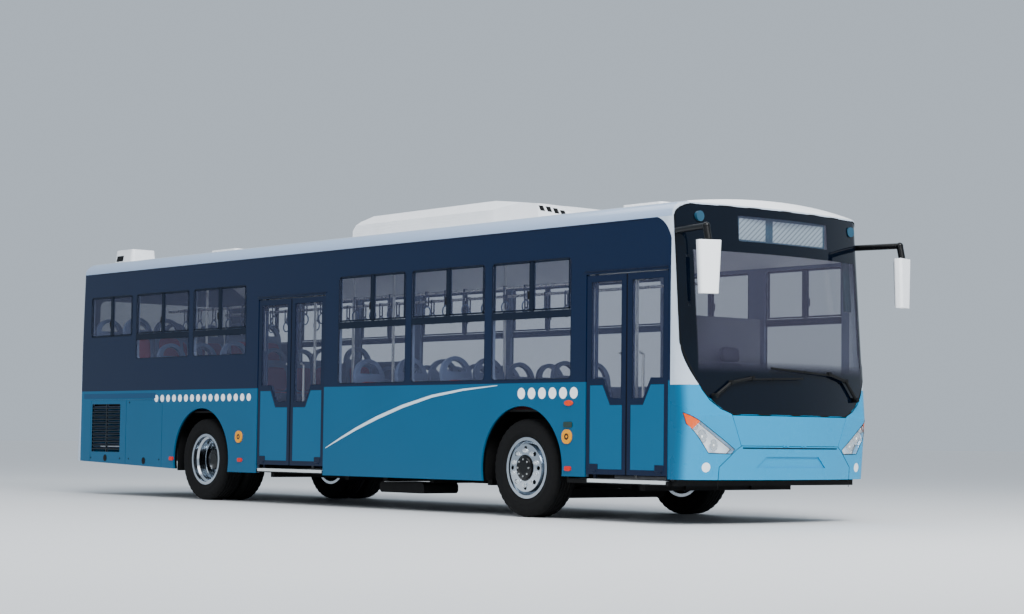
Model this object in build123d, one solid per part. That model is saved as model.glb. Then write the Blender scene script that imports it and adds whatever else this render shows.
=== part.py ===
from build123d import *
from math import atan2, cos, pi, radians, sin, sqrt, tan
import os

os.makedirs("parts", exist_ok=True)

# A two-door city bus. X runs forward, Y to the left and Z up from the road, in millimetres.
# While the pieces are made, x = 0 is the front axle. Every piece is then moved along X so that
# the origin lies on the road under the middle of the whole bus, mirrors included.

# Body
width = 2500
wheelbase = 5790
front_overhang = 2445
rear_overhang = 3010
wall = 50
crown_z = 3000
roof_edge_z = 2934
roof_edge_y = 1120
eave_z = 2792
skirt_z = 340
nose_skirt_z = 410
tail_skirt_z = 424
front_curve = 4400
rear_curve = 12000
front_corner = 200
rear_corner = 80
brow_curve = 6300
least_corner = 15
corner_skim = 0.5
mask_top_z = 2920
beak_z = 985

# Gaps
seat_gap = 0.3
pane_gap = 0.5
panel_gap = 6
door_gap = 8
leaf_gap = 18

# Wheels
wheel_z = 478
tyre_width = 276
bead_radius = 278
flange_radius = 298.5
wheel_y = 1062
twin_spacing = 310
arch_radius = 600
kingpin_y = 962
kingpin_radius = 20
pin_fit = 0.08

# Floor
low_floor_z = 390
mid_step_z = 590
rear_floor_z = 800
engine_floor_z = 1150
floor_plate = 40
toe_z = 470
box_half = 640
box_wall = 20
box_top_z = 1045
front_box_y = 600
rear_box_y = 560

# Windows and doors
window_top_z = 2490
main_sill_z = 1335
rear_sill_z = 1696
vent_sill_z = 1983
bar_low_z = 1926
bar_high_z = 1996
pane = 6
pane_inset = 4
window_corner = 45
door_top_z = 2310
leaf_thick = 38
leaf_inset = 6
leaf_bottom_z = 437
post_radius = 18
post_inset = 60
post_clear = 12
header_z = 2330
foot_height = 10

rear_x = -wheelbase
tail_x = rear_x - rear_overhang
rear_split = tail_x + 220
front_split = front_overhang - 394
step_one_x = rear_x + 1090
step_two_x = rear_x + 840
engine_step_x = rear_x - 1260
toe_x = front_overhang - 385
side_y = width / 2
inner_y = side_y - wall
far = 20000
LOW = (Align.CENTER, Align.CENTER, Align.MIN)
MIRROR = Plane.XZ


def span_box(x, y, z):
    """A box between two places along each axis."""
    size = [abs(b - a) for a, b in (x, y, z)]
    middle = [(a + b) / 2 for a, b in (x, y, z)]
    return Pos(*middle) * Box(*size)


def rod(start, end, radius):
    """A round bar between two points."""
    axis = Vector(*end) - Vector(*start)
    return Plane(origin=start, z_dir=axis) * Cylinder(radius, axis.length, align=LOW)


def drum(x, y, z, radius):
    """A round bar along Y, between two y places."""
    return rod((x, y[0], z), (x, y[1], z), radius)


def polygon(points):
    return make_face(Polyline(*points, close=True))


def across(points, y):
    """An outline of x and z points, extruded between two y places."""
    return Pos(0, y[0], 0) * extrude(Plane.XZ * polygon(points), y[1] - y[0], dir=(0, 1, 0))


def along(face, x):
    """A face drawn in y and z, extruded between two x places."""
    return Pos(x[0], 0, 0) * extrude(Plane.YZ * face, x[1] - x[0])


def side_plate(x, z, y, corner):
    """A plate with round corners in the side view, between two y places."""
    plate = extrude(RectangleRounded(x[1] - x[0], z[1] - z[0], corner), abs(y[1] - y[0]) / 2, both=True)
    return Pos((x[0] + x[1]) / 2, (y[0] + y[1]) / 2, (z[0] + z[1]) / 2) * Rot(90, 0, 0) * plate


def both_halves(half):
    """A face drawn for the left half, joined to its mirror image."""
    return half + mirror(half, about=Plane.YZ)


def gather(*shapes):
    return Compound([solid for shape in shapes for solid in shape.solids()])


def save(name, shape):
    """Move a piece into the bus's own frame and write it."""
    export_step(Pos(frame_shift, 0, 0) * shape, f"parts/{name}.step")


# The front and rear faces are curved sheets that lean.
# Per sheet: setback, height, lean back, curve and corner radius
FRONT_FACES = [
    (0, beak_z, -4.4, front_curve, front_corner),
    (0, beak_z, 4.1, front_curve, front_corner),
    (141, 2950, 60, brow_curve, least_corner),
]
REAR_FACES = [
    (0, 1000, 2.3, rear_curve, rear_corner),
    (75, 2860, 40, rear_curve, rear_corner),
]


def ahead_outline(nose, curve, corner, half):
    """What lies ahead of one end of the body, seen from above: a curved face with round corners.

    The corners end a little outside the body's sides, so that they cross them at an angle.
    """
    reach = half + corner_skim
    corner_y = reach - corner
    corner_x = nose - curve + sqrt((curve - corner) ** 2 - corner_y ** 2)
    turn = atan2(corner_y, corner_x - nose + curve)
    middle = (turn + pi / 2) / 2
    front = (corner_x + corner * cos(turn), corner_y + corner * sin(turn))
    bend = (corner_x + corner * cos(middle), corner_y + corner * sin(middle))
    outside = half + 4 * wall
    ahead = nose + width
    return make_face([
        ThreePointArc((front[0], -front[1]), (nose, 0), front),
        ThreePointArc(front, bend, (corner_x, reach)),
        Line((corner_x, reach), (corner_x, outside)),
        Line((corner_x, outside), (ahead, outside)),
        Line((ahead, outside), (ahead, -outside)),
        Line((ahead, -outside), (corner_x, -outside)),
        Line((corner_x, -outside), (corner_x, -reach)),
        ThreePointArc((corner_x, -reach), (bend[0], -bend[1]), (front[0], -front[1])),
    ])


def ahead_blocks(end_x, faces, inset):
    """The blocks that shape one end of the body, one for each leaning sheet."""
    blocks = []
    for setback, z, lean, curve, corner in faces:
        pivot = end_x - setback
        outline = ahead_outline(-inset, curve, max(corner - inset, least_corner), side_y - inset)
        block = extrude(outline, 2 * width, both=True)
        blocks.append(Pos(pivot, 0, z) * Rot(0, -lean, 0) * block)
    return blocks


def section_outline(inset):
    """The body seen from the front: sides, slanted roof edges and the crown."""
    half = side_y - inset
    edge_y, edge_z = roof_edge_y - inset / 2, roof_edge_z - inset
    eave = eave_z - inset / 2
    bow_y, bow_z = (half * 0.7 + edge_y * 0.3), (eave * 0.38 + edge_z * 0.62)
    low = skirt_z - 2 * wall
    return make_face([
        Line((half, low), (half, eave)),
        ThreePointArc((half, eave), (bow_y, bow_z), (edge_y, edge_z)),
        ThreePointArc((edge_y, edge_z), (0, crown_z - inset), (-edge_y, edge_z)),
        ThreePointArc((-edge_y, edge_z), (-bow_y, bow_z), (-half, eave)),
        Line((-half, eave), (-half, low)),
        Line((-half, low), (half, low)),
    ])


def envelope(inset):
    """The whole body as one solid, made smaller by an inset on every face."""
    body = along(section_outline(inset), (tail_x - 2 * wall, front_overhang + wall))
    front = ahead_blocks(front_overhang, FRONT_FACES, inset)
    rear = ahead_blocks(-tail_x, REAR_FACES, inset)
    for block in front + [Rot(0, 0, 180) * block for block in rear]:
        body -= block
    return body


hull = envelope(0)
room = envelope(wall)
below_skirt = across(
    [
        (-far, tail_skirt_z),
        (tail_x - 2 * wall, tail_skirt_z),
        (rear_x, skirt_z),
        (0, skirt_z),
        (0, nose_skirt_z),
        (far, nose_skirt_z),
        (far, 0),
        (-far, 0),
    ],
    (-width, width),
)
shell = hull - room - below_skirt

# Mirrors on their arms. They reach furthest forward, so the frame's origin follows from them.
mirror_x = 2600
mirror_depth = 88
mirror_y = 1330
mirror_width = 222
mirror_foot_width = 176
mirror_z = (2057, 2530)
mirror_arm_z = 2658
mirror_arm_radius = 29
mirror_turn = {-1: -28, 1: 13.5}


def mirror_arm(side):
    """A tapered housing that faces the driver, hung on a bent arm."""
    top_z, low_z = mirror_z[1], mirror_z[0]
    top = Pos(0, 0, top_z) * RectangleRounded(mirror_depth, mirror_width, 30)
    foot = Pos(0, 0, low_z) * RectangleRounded(mirror_depth, mirror_foot_width, 30)
    housing = Pos(mirror_x, side * mirror_y, 0) * Rot(0, 0, mirror_turn[side]) * loft([foot, top])
    root = (front_split + 45, side * (side_y - 30), mirror_arm_z)
    elbow = (mirror_x - 30, side * mirror_y, mirror_arm_z)
    hanger = (mirror_x, side * mirror_y, top_z - 5)
    piece = rod(root, elbow, mirror_arm_radius) + Pos(*elbow) * Sphere(mirror_arm_radius + 6)
    piece += rod(elbow, hanger, mirror_arm_radius + 4)
    return piece + housing - hull


mirrors = gather(mirror_arm(-1), mirror_arm(1))
frame_shift = -round((mirrors.bounding_box().max.X + shell.bounding_box().min.X) / 2)
save("mirrors", mirrors)


def skin(inner_inset, outer_inset=0):
    """A thin layer of the body between two insets."""
    outer = hull if outer_inset == 0 else envelope(outer_inset)
    return outer - envelope(inner_inset) - below_skirt


# The front's openings are cut ahead of a sheet that leans like the windscreen
front_zone_x = 2125
front_zone = (Pos(front_zone_x, 0, FRONT_FACES[1][1]) * Rot(0, -FRONT_FACES[1][2], 0)
              * Pos(width / 2, 0, 0) * Box(width, 2 * width, 4 * width))
front_zone &= span_box((front_split + 12, far), (-width, width), (0, 2 * width))


def front_prism(face):
    return along(face, (front_split - 300, front_overhang + 200)) & front_zone


def rear_prism(face):
    return along(face, (tail_x - 200, rear_split + 100))


# Side windows of the right side: rear end, front end and sill
RIGHT_WINDOWS = [
    (rear_x - 2646, rear_x - 1629, vent_sill_z),
    (rear_x - 1532, rear_x - 310, rear_sill_z),
    (rear_x - 217, rear_x + 920, rear_sill_z),
    (-3056, -1868, main_sill_z),
    (-1769, -576, main_sill_z),
    (-465, 706, main_sill_z),
]
# The left side has windows in place of its doors
LEFT_WINDOWS = RIGHT_WINDOWS + [
    (rear_x + 1030, rear_x + 2623, main_sill_z),
    (921, 1950, main_sill_z),
]
# Doorways in the right side: rear end and front end
DOORWAYS = {"front": (921, 2023), "rear": (rear_x + 1177, rear_x + 2482)}
# Side flaps over the engine: rear end and front end
FLAPS = {"aft": (rear_x - 2610, rear_x - 1730), "fore": (rear_x - 1730, rear_x - 875)}
flap_top_z = 1190
flap_thick = 30
# The vertical bar between the two sliding panes, as a share of the window's length
divider_share = 0.51
divider_width = 34
bar_thick = 18


def window_cut(rear, front, sill, y):
    return side_plate((rear, front), (sill, window_top_z), y, window_corner)


def wheel_arches():
    reach = (-width, width)
    return [drum(x, reach, wheel_z, arch_radius) for x in (0, rear_x)]


def side_wall(side, windows, doorways):
    """One side of the body, with its windows, doorways, arches and flap openings cut out."""
    y = (side * (side_y - 5 * wall), side * (side_y + wall))
    panel = shell & span_box((rear_split, front_split), y, (0, eave_z))
    cuts = [window_cut(rear, front, sill, y) for rear, front, sill in windows]
    cuts += [span_box((rear, front), y, (0, door_top_z)) for rear, front in doorways]
    cuts += [span_box((FLAPS["aft"][0], FLAPS["fore"][1]), y, (0, flap_top_z + panel_gap / 2))]
    return panel - cuts - wheel_arches()


def window_bars(side, windows):
    """The bar under the sliding panes and the divider between them, for one side."""
    bars = []
    y = (side * (side_y - pane_inset - pane - bar_thick / 2), side * (side_y - 1))
    for rear, front, sill in windows:
        divider = rear + (front - rear) * divider_share
        foot = bar_low_z if sill < bar_low_z else sill
        bar = span_box((divider - divider_width / 2, divider + divider_width / 2), y, (foot, window_top_z))
        if sill < bar_low_z:
            bar += span_box((rear, front), y, (bar_low_z, bar_high_z))
        bars.append(bar & side_plate((rear + pane_gap, front - pane_gap),
                                     (sill + pane_gap, window_top_z - pane_gap), y, window_corner - pane_gap))
    return bars


def window_panes(side, windows, bars):
    """The panes of one side, cut where the bars stand between them."""
    y = (side * (side_y - pane_inset), side * (side_y - pane_inset - pane))
    panes = []
    for (rear, front, sill), bar in zip(windows, bars):
        whole = side_plate((rear + pane_gap, front - pane_gap),
                           (sill + pane_gap, window_top_z - pane_gap), y, window_corner - pane_gap)
        panes.append(whole - bar)
    return panes


right_bars = window_bars(-1, RIGHT_WINDOWS)
left_bars = window_bars(1, LEFT_WINDOWS)
save("side_wall_right", side_wall(-1, RIGHT_WINDOWS, DOORWAYS.values()))
save("side_wall_left", side_wall(1, LEFT_WINDOWS, []))
save("window_bars", gather(*right_bars, *left_bars))
save("side_windows", gather(*window_panes(-1, RIGHT_WINDOWS, right_bars),
                            *window_panes(1, LEFT_WINDOWS, left_bars)))

# Roof: everything above the eaves, and above the front mask
roof = shell & span_box((-far, front_split), (-width, width), (eave_z, crown_z + 100))
roof += shell & span_box((front_split, far), (-width, width), (mask_top_z, crown_z + 100))
save("roof_shell", roof)

# Front: outlines in y and z, drawn for the left half
glass_low_z = 1003
glass_side_y = 1230
glass_top_z = mask_top_z - 15
glass_inset = 3
glass_thick = 8
windscreen_face = both_halves(make_face([
    Line((0, glass_low_z), (770, glass_low_z)),
    ThreePointArc((770, glass_low_z), (1085, 1220), (glass_side_y, 1640)),
    Line((glass_side_y, 1640), (glass_side_y, glass_top_z - 110)),
    ThreePointArc((glass_side_y, glass_top_z - 110), (glass_side_y - 32, glass_top_z - 32),
                  (glass_side_y - 110, glass_top_z)),
    Line((glass_side_y - 110, glass_top_z), (0, glass_top_z)),
    Line((0, glass_top_z), (0, glass_low_z)),
]))
bumper_top_z = 716
flap_top = glass_low_z - panel_gap / 2
flap_face = both_halves(polygon([(0, bumper_top_z), (663, bumper_top_z), (786, flap_top), (0, flap_top)]))
bumper_face = both_halves(polygon([(0, bumper_top_z), (660, bumper_top_z), (712, 682), (890, 525),
                                   (895, nose_skirt_z - 50), (0, nose_skirt_z - 50)]))
headlamp_face = polygon([(1232, 1012), (1102, 930), (730, 686), (768, 645), (1010, 650), (1215, 915)])
recess_face = both_halves(polygon([(0, 620), (356, 620), (469, 521), (0, 521)]))
recess_depth = 12
fog_lamp = (1026, 522, 44)
marker_lamp = (1036, 2795, 48)
lamp_depth = 30


beam_bite = 2


def beam(low, high, depth):
    """A cross beam that follows the inside of the front, fused to the corners, clear of the bumper."""
    band = span_box((front_split + wall, far), (-inner_y - beam_bite, inner_y + beam_bite), (low, high))
    bar = (envelope(wall - beam_bite) - envelope(wall + depth)) & band
    return bar - (front_prism(bumper_face) - envelope(wall + seat_gap))


headlamp_faces = headlamp_face + mirror(headlamp_face, about=Plane.YZ)
fog_faces = Sketch() + [Pos(side * fog_lamp[0], fog_lamp[1]) * Circle(fog_lamp[2]) for side in (-1, 1)]
mask = shell & span_box((front_split, far), (-width, width), (0, mask_top_z))
mask -= [front_prism(face) for face in (windscreen_face, flap_face, bumper_face, headlamp_faces, fog_faces)]
header_beam_z = mask_top_z - 60
mask += [beam(1010, 1060, 40), beam(560, 600, 40), beam(header_beam_z, mask_top_z, 30)]
save("front_mask", mask)

# The front flap folds down on two pins that stand ahead of its lower edge
hinge_radius = 2.9
hinge_bite = 0.5
hinge_length = 60
flap_gap = 8
flap_skin = 14
flap_hinge_y = 120
flap_hinge_half = 12
flap_hinge = (front_overhang - 18, bumper_top_z - panel_gap / 2)
bumper = shell & front_prism(offset(bumper_face, -seat_gap))
bumper -= front_prism(recess_face) - envelope(recess_depth)
for side in (-1, 1):
    bumper += span_box((flap_hinge[0] - 30, flap_hinge[0] - hinge_radius - seat_gap),
                       (side * flap_hinge_y - flap_hinge_half, side * flap_hinge_y + flap_hinge_half),
                       (bumper_top_z - 20, flap_hinge[1] + hinge_radius))
save("front_bumper", bumper)

lens_room = envelope(lamp_depth)
lens_skin = hull - lens_room - below_skirt
flap_panel = offset(flap_face, -panel_gap + 1) - Pos(0, flap_top) * Rectangle(width, 2 * flap_gap)
front_flap = skin(flap_skin) & front_prism(flap_panel)
ear_low = flap_hinge[1] + hinge_radius + 2
for side in (-1, 1):
    for ear_y in (side * (flap_hinge_y - 24), side * (flap_hinge_y + 24)):
        y = (ear_y - 10, ear_y + 10)
        front_flap += span_box((flap_hinge[0] - 13, flap_hinge[0] + 2), y, (ear_low, ear_low + 8))
        front_flap += span_box((flap_hinge[0] - 2, flap_hinge[0] + 2), y, (flap_hinge[1], ear_low + 8))
    front_flap += rod((flap_hinge[0], side * (flap_hinge_y - 34), flap_hinge[1]),
                      (flap_hinge[0], side * (flap_hinge_y + 34), flap_hinge[1]), hinge_radius)
save("front_flap", front_flap)
save("headlamps", lens_skin & front_prism(offset(headlamp_faces, -seat_gap)))
glass_skin = skin(glass_inset + glass_thick, glass_inset)
save("windscreen", glass_skin & front_prism(offset(windscreen_face, -pane_gap)))

# Destination sign behind the windscreen: y, z and depth
sign_y = 600
sign_z = (2590, header_beam_z - seat_gap)
sign_depth = 60
sign_x = front_overhang - 195
save("destination_sign", span_box((sign_x - sign_depth, sign_x), (-sign_y, sign_y), sign_z))

# Fog and marker lamps of the front, and the round markers and reflectors of the right and left sides:
# x, z and the half sizes along x and z
SIDE_MARKERS = [
    (671, 785, 68, 68),
    (rear_x + 820, 747, 68, 68),
    (687, 483, 45, 22),
    (rear_x + 850, 482, 45, 22),
    (rear_x - 639, 477, 45, 22),
]
marker_thick = 12
fogs = [solid for solid in (lens_skin & front_prism(offset(fog_faces, -seat_gap))).solids()]
marker_x = front_overhang - 252
markers = [Pos(marker_x, side * marker_lamp[0], marker_lamp[1]) * Rot(0, 90, side * 14)
           * Cylinder(marker_lamp[2], 34) - hull for side in (-1, 1)]
for side in (-1, 1):
    for x, z, half_x, half_z in SIDE_MARKERS:
        y = (side * (side_y + seat_gap), side * (side_y + marker_thick))
        markers.append(side_plate((x - half_x, x + half_x), (z - half_z, z + half_z), y, half_z * 0.9))
save("marker_lamps", gather(*fogs, *markers))

# Rear: window, engine hatch, tail lamps and bumper
rear_glass = (1000, 1640, 2480)
hatch = (930, 600, 1480)
tail_lamp = (1085, 760, 1240, 55)
rear_bumper_z = 560
rear_glass_face = Pos(0, sum(rear_glass[1:]) / 2) * RectangleRounded(
    2 * rear_glass[0], rear_glass[2] - rear_glass[1], 90)
hatch_face = Pos(0, sum(hatch[1:]) / 2) * RectangleRounded(2 * hatch[0], hatch[2] - hatch[1], 30)
tail_faces = Sketch() + [Pos(side * tail_lamp[0], (tail_lamp[1] + tail_lamp[2]) / 2)
                         * RectangleRounded(2 * tail_lamp[3], tail_lamp[2] - tail_lamp[1], 50)
                         for side in (-1, 1)]
rear_part = shell & span_box((-far, rear_split), (-width, width), (0, eave_z))
rear_wall = rear_part & span_box((-far, far), (-width, width), (rear_bumper_z, eave_z))
rear_wall -= [rear_prism(face) for face in (rear_glass_face, hatch_face, tail_faces)]
save("rear_bumper", rear_part & span_box((-far, far), (-width, width), (0, rear_bumper_z)))
save("rear_window", glass_skin & rear_prism(offset(rear_glass_face, -pane_gap)))
save("tail_lamps", lens_skin & rear_prism(offset(tail_faces, -seat_gap)))

# Engine hatch with its louvres
louvre_pitch = 46
louvre_thick = 5


def louvres(rear, front, low, high, y):
    """Slanted slats along X that fill an opening of a side flap."""
    outer, inner = y
    count = int((high - low) / louvre_pitch)
    start = (low + high - (count - 1) * louvre_pitch) / 2
    slats = []
    for index in range(count):
        z = start + index * louvre_pitch
        slat = polygon([(outer, z - 16), (outer, z - 16 + louvre_thick * 2), (inner, z + 16),
                        (inner, z + 16 - louvre_thick * 2)])
        slats.append(along(slat, (rear, front)))
    return slats


hatch_hinge = (tail_x + 16, hatch[2] - panel_gap / 2)
hatch_hinge_y = 500
hatch_panel = lens_skin & rear_prism(offset(hatch_face, -panel_gap))
hatch_brackets = []
for side in (-1, 1):
    y = (side * hatch_hinge_y - hinge_length, side * hatch_hinge_y + hinge_length)
    hatch_panel += rod((hatch_hinge[0], y[0], hatch_hinge[1]), (hatch_hinge[0], y[1], hatch_hinge[1]),
                       hinge_radius - seat_gap)
    hatch_panel += span_box((hatch_hinge[0] - 2, hatch_hinge[0] + 26), y,
                            (hatch_hinge[1] - 16, hatch_hinge[1] - hinge_radius + hinge_bite))
    hatch_brackets.append(span_box((hatch_hinge[0] - 4, hatch_hinge[0] + 26), y,
                                   (hatch_hinge[1] + panel_gap / 2, hatch_hinge[1] + 18)))
save("engine_hatch", hatch_panel)
save("rear_wall", rear_wall + hatch_brackets)

grille = (rear_x - 2585, rear_x - 1876, 540, 1150)
for name, (rear, front) in FLAPS.items():
    ends = (rear + panel_gap if name == "aft" else rear + panel_gap / 2,
            front - panel_gap if name == "fore" else front - panel_gap / 2)
    y = (-side_y, -side_y + flap_thick)
    flap = span_box(ends, y, (0, flap_top_z - panel_gap / 2 + hinge_bite)) - below_skirt
    flap += rod((ends[0], -side_y - 1, flap_top_z), (ends[1], -side_y - 1, flap_top_z), hinge_radius)
    if name == "aft":
        x0, x1, z0, z1 = grille[0] + 15, grille[1], grille[2], grille[3] - 15
        flap -= side_plate((x0, x1), (z0, z1), (y[0] - 10, y[1] + 10), 20)
        middle = (x0 + x1) / 2
        flap += louvres(x0 - 5, x1 + 5, z0, z1, (y[0] + 2, y[1] - 2))
        flap += span_box((middle - 12, middle + 12), (y[0] + 6, y[1]), (z0 - 5, z1 + 5))
    save(f"side_flap_right_{name}", flap)
    save(f"side_flap_left_{name}", mirror(flap, about=MIRROR))

# Floor: flat plates and the risers between them, with holes for the wheel boxes
floor_side_y = inner_y - seat_gap
under_z = low_floor_z - floor_plate
FLOOR_PLATES = [
    (toe_x + floor_plate, front_overhang - 125, toe_z - floor_plate, toe_z),
    (toe_x, toe_x + floor_plate - seat_gap, under_z, toe_z),
    (step_one_x, toe_x - seat_gap, under_z, low_floor_z),
    (step_one_x - floor_plate, step_one_x - seat_gap, under_z, mid_step_z),
    (step_two_x, step_one_x - floor_plate - seat_gap, mid_step_z - floor_plate, mid_step_z),
    (step_two_x - floor_plate, step_two_x - seat_gap, mid_step_z - floor_plate, rear_floor_z),
    (engine_step_x, step_two_x - floor_plate - seat_gap, rear_floor_z - floor_plate, rear_floor_z),
    (engine_step_x - floor_plate, engine_step_x - seat_gap, rear_floor_z - floor_plate, engine_floor_z),
    (tail_x, engine_step_x - floor_plate - seat_gap, engine_floor_z - floor_plate, engine_floor_z),
]
# Wheel boxes: axle, inner side and lower edge
WHEEL_BOXES = [
    (0, front_box_y, under_z),
    (rear_x, rear_box_y, rear_floor_z - floor_plate),
]
floor_room = envelope(wall + seat_gap)
box_holes = [span_box((x - box_half - seat_gap, x + box_half + seat_gap),
                      (side * (y_in - seat_gap), side * width), (0, box_top_z))
             for x, y_in, low in WHEEL_BOXES for side in (-1, 1)]
plates = []
for rear, front, low, high in FLOOR_PLATES:
    plate = (span_box((rear, front), (-width, width), (low, high)) & floor_room) - box_holes
    if high == low_floor_z:
        plate += [span_box((sill_rear + seat_gap, sill_front - seat_gap),
                           (-side_y + 5, -floor_side_y + 1), (low, high))
                  for sill_rear, sill_front in DOORWAYS.values()]
    plates.append(plate)
# Podium under the driver's seat
podium_x = (box_half + seat_gap, toe_x - seat_gap)
podium_y = (180, floor_side_y)
podium_z = 620
plates.append(span_box(podium_x, podium_y, (low_floor_z + seat_gap, podium_z)))
save("body_floor", gather(*plates))
wheel_boxes = []
for x, y_in, low in WHEEL_BOXES:
    for side in (-1, 1):
        outer = span_box((x - box_half, x + box_half), (side * y_in, side * floor_side_y), (low, box_top_z))
        inner = span_box((x - box_half + box_wall, x + box_half - box_wall),
                         (side * (y_in + box_wall), side * width), (0, box_top_z - box_wall))
        wheel_boxes.append(outer - inner)
save("wheel_boxes", gather(*wheel_boxes))

# Door leaves. Each leaf hangs on a post by its outer edge and turns inwards.
# Per leaf: doorway, which end of it the post stands at, and the steps of the pane's lower edge
door_centre = {name: (rear + front) / 2 for name, (rear, front) in DOORWAYS.items()}
leaf_y = (-side_y + leaf_inset, -side_y + leaf_inset + leaf_thick)
post_y = leaf_y[1] + post_radius + post_clear
pane_edge = 62
pane_low_z = 1143
pane_step_z = 1328
pane_top_z = 2237
leaf_top_z = door_top_z - door_gap - 2
arm_z = (520, 2180)
LEAVES = [(f"{door}_{end}", door, end) for door in DOORWAYS for end in ("fore", "aft")]


def leaf_spans(door, end):
    """The outer edge, the free edge and the direction from the first to the second."""
    rear, front = DOORWAYS[door]
    if end == "aft":
        return rear + door_gap, door_centre[door] - leaf_gap / 2, 1
    return front - door_gap, door_centre[door] + leaf_gap / 2, -1


foot_parts = []
for name, door, end in LEAVES:
    outer, free, way = leaf_spans(door, end)
    post_x = outer + way * post_inset
    leaf = span_box((outer, free), leaf_y, (leaf_bottom_z, leaf_top_z))
    step_x = outer + way * (pane_edge + 0.30 * abs(free - outer))
    slope_x = step_x + way * 100
    opening = [(outer + way * pane_edge, pane_step_z), (outer + way * pane_edge, pane_top_z),
               (free - way * pane_edge, pane_top_z), (free - way * pane_edge, pane_low_z),
               (slope_x, pane_low_z), (step_x, pane_step_z)]
    leaf -= across(opening, (-width, 0))
    post = rod((post_x, post_y, low_floor_z + foot_height + seat_gap), (post_x, post_y, header_z - seat_gap),
               post_radius)
    leaf += post
    for z in arm_z:
        leaf += span_box((post_x - post_radius, post_x + post_radius), (leaf_y[1] - 1, post_y), (z, z + 60))
    save(f"door_{name}", leaf)
    glass_y = (leaf_y[0] + 8, leaf_y[0] + 14)
    inset_opening = offset(polygon(opening), -pane_gap)
    glazing = extrude(Plane.XZ * inset_opening, glass_y[1] - glass_y[0], dir=(0, 1, 0))
    glazing = Pos(0, glass_y[0], 0) * glazing
    save(f"door_{name}_pane", glazing)
    foot_parts.append(rod((post_x, post_y, low_floor_z), (post_x, post_y, low_floor_z + foot_height), 30))
for rear, front in DOORWAYS.values():
    foot_parts.append(span_box((rear + 20, front - 60), (-inner_y + seat_gap, -inner_y + 150),
                               (header_z, header_z + 190)))
save("door_gear", gather(*foot_parts))

# Chassis frame: two rails with a step over the rear axle, and cross members that reach the walls
rail_y = 450
rail_width = 80
low_rail_z = (290, under_z)
high_rail_z = (640, rear_floor_z - floor_plate)
kick_x = (step_two_x - floor_plate - 20, step_one_x - floor_plate)
rail_front_x = 1500
rail_end_x = tail_x + 215
rail_line = [(rail_front_x, low_rail_z[1]), (kick_x[1] - 60, low_rail_z[1]),
             (kick_x[0] - 200, high_rail_z[1]),
             (rail_end_x, high_rail_z[1]), (rail_end_x, high_rail_z[0]),
             (kick_x[0] - 140, high_rail_z[0]), (kick_x[1], low_rail_z[0]), (rail_front_x, low_rail_z[0])]
frame = Part()
for side in (-1, 1):
    frame += across(rail_line, (side * rail_y - rail_width / 2, side * rail_y + rail_width / 2))
# Cross members: x, half length and whether they belong to the raised rear part
CROSS_MEMBERS = [
    (1440, 1000, 0),
    (800, 560, 0),
    (-760, 1000, 0),
    (-1700, 1000, 0),
    (-2500, 1000, 0),
    (rear_x + 2590, 1000, 0),
    (rear_x + 1150, 1000, 0),
    (rear_x + 390, 450, 1),
    (rear_x - 390, 450, 1),
    (rear_x - 760, 1150, 1),
    (rear_x - 1210, 1150, 1),
    (rail_end_x + 35, 530, 1),
]
for x, half, raised in CROSS_MEMBERS:
    z = high_rail_z if raised else low_rail_z
    frame += span_box((x - 35, x + 35), (-half, half), (z[0], z[1]))
# Towing eyes at the rails' rear ends, and jacking pads under the low rails
tow_eye_radius = 20
tow_eye_thick = 30
tow_eye_length = 90
pad_x = -1230
pad_thick = 8
for side in (-1, 1):
    frame += span_box((rail_end_x - tow_eye_length, rail_end_x + 1),
                      (side * rail_y - rail_width / 2, side * rail_y + rail_width / 2),
                      (high_rail_z[0], high_rail_z[0] + tow_eye_thick))
    frame -= Pos(rail_end_x - tow_eye_length + 40, side * rail_y, high_rail_z[0]) * Cylinder(tow_eye_radius, 100)
    frame += Pos(pad_x, side * rail_y, low_rail_z[0] - pad_thick) * Box(160, 120, pad_thick + 1, align=LOW)
save("chassis_frame", frame)

# Axles. The front beam drops below the floor and rises to the kingpins.
beam_half = 45
beam_line = [(0, 180), (640, 180), (830, 420), (kingpin_y - 20, 440), (kingpin_y - 20, 516),
             (800, 516), (590, 270), (0, 270)]
beam_face = both_halves(polygon(beam_line))
front_beam = along(beam_face, (-beam_half, beam_half))
eye_half = 38
for side in (-1, 1):
    eye = Pos(0, side * kingpin_y, wheel_z) * Cylinder(40, 2 * eye_half)
    front_beam += eye
    front_beam += span_box((-60, 60), (side * rail_y - 60, side * rail_y + 60), (269, low_rail_z[0]))
for side in (-1, 1):
    front_beam -= Pos(0, side * kingpin_y, wheel_z) * Cylinder(kingpin_radius + pin_fit, 3 * eye_half)
    swing = Pos(0, side * kingpin_y, wheel_z)
    front_beam -= swing * Cylinder(60, 60, align=LOW).moved(Location((0, 0, eye_half)))
    front_beam -= swing * Cylinder(60, 60, align=LOW).moved(Location((0, 0, -eye_half - 60)))
rear_hub_y = 760
rear_tube_radius = 75
spindle_radius = 48
rear_spindle_end_y = 1010
rear_axle = drum(rear_x, (-rear_hub_y + 60, rear_hub_y - 60), wheel_z, rear_tube_radius)
differential = revolve(polygon([(0, -190), (90, -190), (165, -100), (185, -60), (185, 60), (165, 100),
                                (90, 190), (0, 190)]), Axis.Y)
rear_axle += Pos(rear_x, 0, wheel_z) * differential
rear_axle += drum(rear_x, (-rear_spindle_end_y, rear_spindle_end_y), wheel_z, spindle_radius)
for side in (-1, 1):
    rear_axle += span_box((rear_x - 330, rear_x + 330),
                          (side * rail_y - 45, side * rail_y + 45), (430, 500))
    for x in (rear_x - 250, rear_x + 250):
        rear_axle += Pos(x, side * rail_y, 499) * Cylinder(95, high_rail_z[0] - 499, align=LOW)
save("axles", gather(front_beam, rear_axle))

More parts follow.
